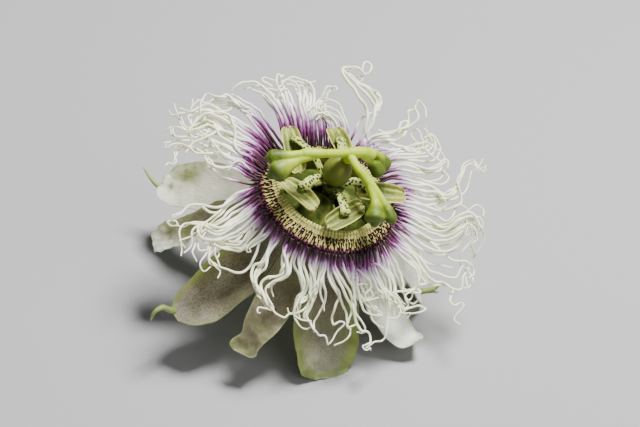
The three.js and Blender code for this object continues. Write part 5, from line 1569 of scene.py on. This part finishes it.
def melt(piece, voxel, rounds):
    """Joins a piece's overlapping tubes into one smooth skin."""
    remesh = piece.modifiers.new("join", "REMESH")
    remesh.mode = "VOXEL"
    remesh.voxel_size = voxel
    relax = piece.modifiers.new("relax", "SMOOTH")
    relax.factor = 0.5
    relax.iterations = rounds
    graph = bpy.context.evaluated_depsgraph_get()
    mesh = bpy.data.meshes.new_from_object(piece.evaluated_get(graph))
    piece.modifiers.clear()
    old = piece.data
    mesh.materials.clear()
    mesh.materials.append(old.materials[0])
    piece.data = mesh
    bpy.data.meshes.remove(old)
    mesh.polygons.foreach_set("use_smooth", [True] * len(mesh.polygons))


def set_value(mesh, name, values):
    attribute = mesh.attributes.new(name, "FLOAT", "POINT")
    attribute.data.foreach_set("value", np.asarray(values, np.float32))


def make_styles():
    skin = green_material("style_skin", (0.36, 0.49, 0.012), (0.058, 0.092, 0.004), scale=320.0,
                          roughness=0.5, subsurface=0.15)
    for i, style in enumerate(STYLES):
        shape = Shape()
        arm = smooth_path([polar(*place) for place in style["arm"]], 50)
        t = np.linspace(0, 1, 50)
        tube(shape, arm, style["thick"] * (1 + 0.12 * smoothstep(t, 0.5, 1.0)), sides=20)
        tips = []
        for lobe, thick in style["lobes"]:
            path = smooth_path([polar(*place) for place in lobe], 44)
            t = np.linspace(0, 1, 44)
            club = LOBE_NECK + (thick - LOBE_NECK) * smoothstep(t, 0.42, 0.92)
            club = club * np.sqrt(1 - 0.8 * np.clip((t - 0.86) / 0.14, 0, 1) ** 2)
            tube(shape, path, club, sides=28)
            tips.append(path[-1])
        node = f"style_{i + 1}"
        piece = shape.build(f"{node}_arm", skin)
        melt(piece, STYLE_VOXEL, STYLE_RELAXED)
        points = np.empty(3 * len(piece.data.vertices))
        piece.data.vertices.foreach_get("co", points)
        points = upright(points.reshape(-1, 3))
        nearest = np.min([np.linalg.norm(points - tip, axis=1) for tip in tips], axis=0)
        # Painted shade: each stigma lobe darkens towards its tip, over a deeper green of its own
        set_value(piece.data, "deep", 1.15 * (1 - smoothstep(nearest, 1.8, 6.4)))
        finish_piece(piece, "style", node)


# ---------------------------------------------------------------- stage

FLOOR_SIZE = 6.0
LIGHT_TARGET = (0, 0, 0.03)
SKY_COLOUR = (0.97, 0.98, 1.0, 1.0)
SKY_STRENGTH = 0.18


def make_stage():
    n = Nodes("floor_paper")
    grain = n.noise(n.place(), 900.0, 4.0)
    colour = n.mix(n.math("MULTIPLY", grain, 0.12), (0.31, 0.31, 0.325), (0.26, 0.26, 0.275))
    n.bump(grain, 0.15, 0.0002)
    material = n.finish(colour, 0.85)
    bpy.ops.mesh.primitive_plane_add(size=FLOOR_SIZE, location=(0, 0, 0))
    floor = bpy.context.object
    floor.name = "floor"
    floor.data.materials.append(material)


def add_light(name, location, size, power, colour):
    data = bpy.data.lights.new(name, "AREA")
    data.shape = "DISK"
    data.size = size
    data.energy = power
    data.color = colour
    light = bpy.data.objects.new(name, data)
    light.location = location
    light.rotation_euler = (Vector(LIGHT_TARGET) - Vector(location)).to_track_quat("-Z", "Y").to_euler()
    bpy.context.scene.collection.objects.link(light)


def make_lights():
    add_light("key", (0.18, 0.10, 0.65), 0.20, 15.0, (1.0, 0.98, 0.94))
    add_light("fill", (0.45, -0.45, 0.40), 0.6, 2.4, (1.0, 1.0, 0.97))
    world_settings = bpy.data.worlds.new("studio")
    world_settings.use_nodes = True
    background = world_settings.node_tree.nodes["Background"]
    background.inputs["Color"].default_value = SKY_COLOUR
    background.inputs["Strength"].default_value = SKY_STRENGTH
    bpy.context.scene.world = world_settings


def make_camera():
    """The camera looks along +Y and down, so that the flower's origin falls on its pixel."""
    elevation = math.radians(CAMERA_ELEVATION)
    right = np.array([1.0, 0.0, 0.0])
    up = np.array([0.0, math.sin(elevation), math.cos(elevation)])
    back = np.array([0.0, -math.cos(elevation), math.sin(elevation)])
    width, height = IMAGE_SIZE
    per_pixel = CAMERA_DISTANCE * CAMERA_SENSOR / (CAMERA_LENS * width)
    aside = (ORIGIN_PIXEL[0] - width / 2) * per_pixel
    above = (height / 2 - ORIGIN_PIXEL[1]) * per_pixel
    location = ORIGIN + MM * (CAMERA_DISTANCE * back - aside * right - above * up)
    data = bpy.data.cameras.new("camera")
    data.lens = CAMERA_LENS
    data.sensor_width = CAMERA_SENSOR
    data.clip_start = 0.01
    camera = bpy.data.objects.new("camera", data)
    camera.location = location
    camera.rotation_euler = Vector(-back).to_track_quat("-Z", "Y").to_euler()
    bpy.context.scene.collection.objects.link(camera)
    bpy.context.scene.camera = camera


make_camera()
make_lights()
make_stage()
make_tepals()
make_corona_locks(filament_material())
make_comb(peg_material())
make_cup()
make_membranes()
make_column()
make_ovary()
make_stalk()
make_stamens()
make_styles()
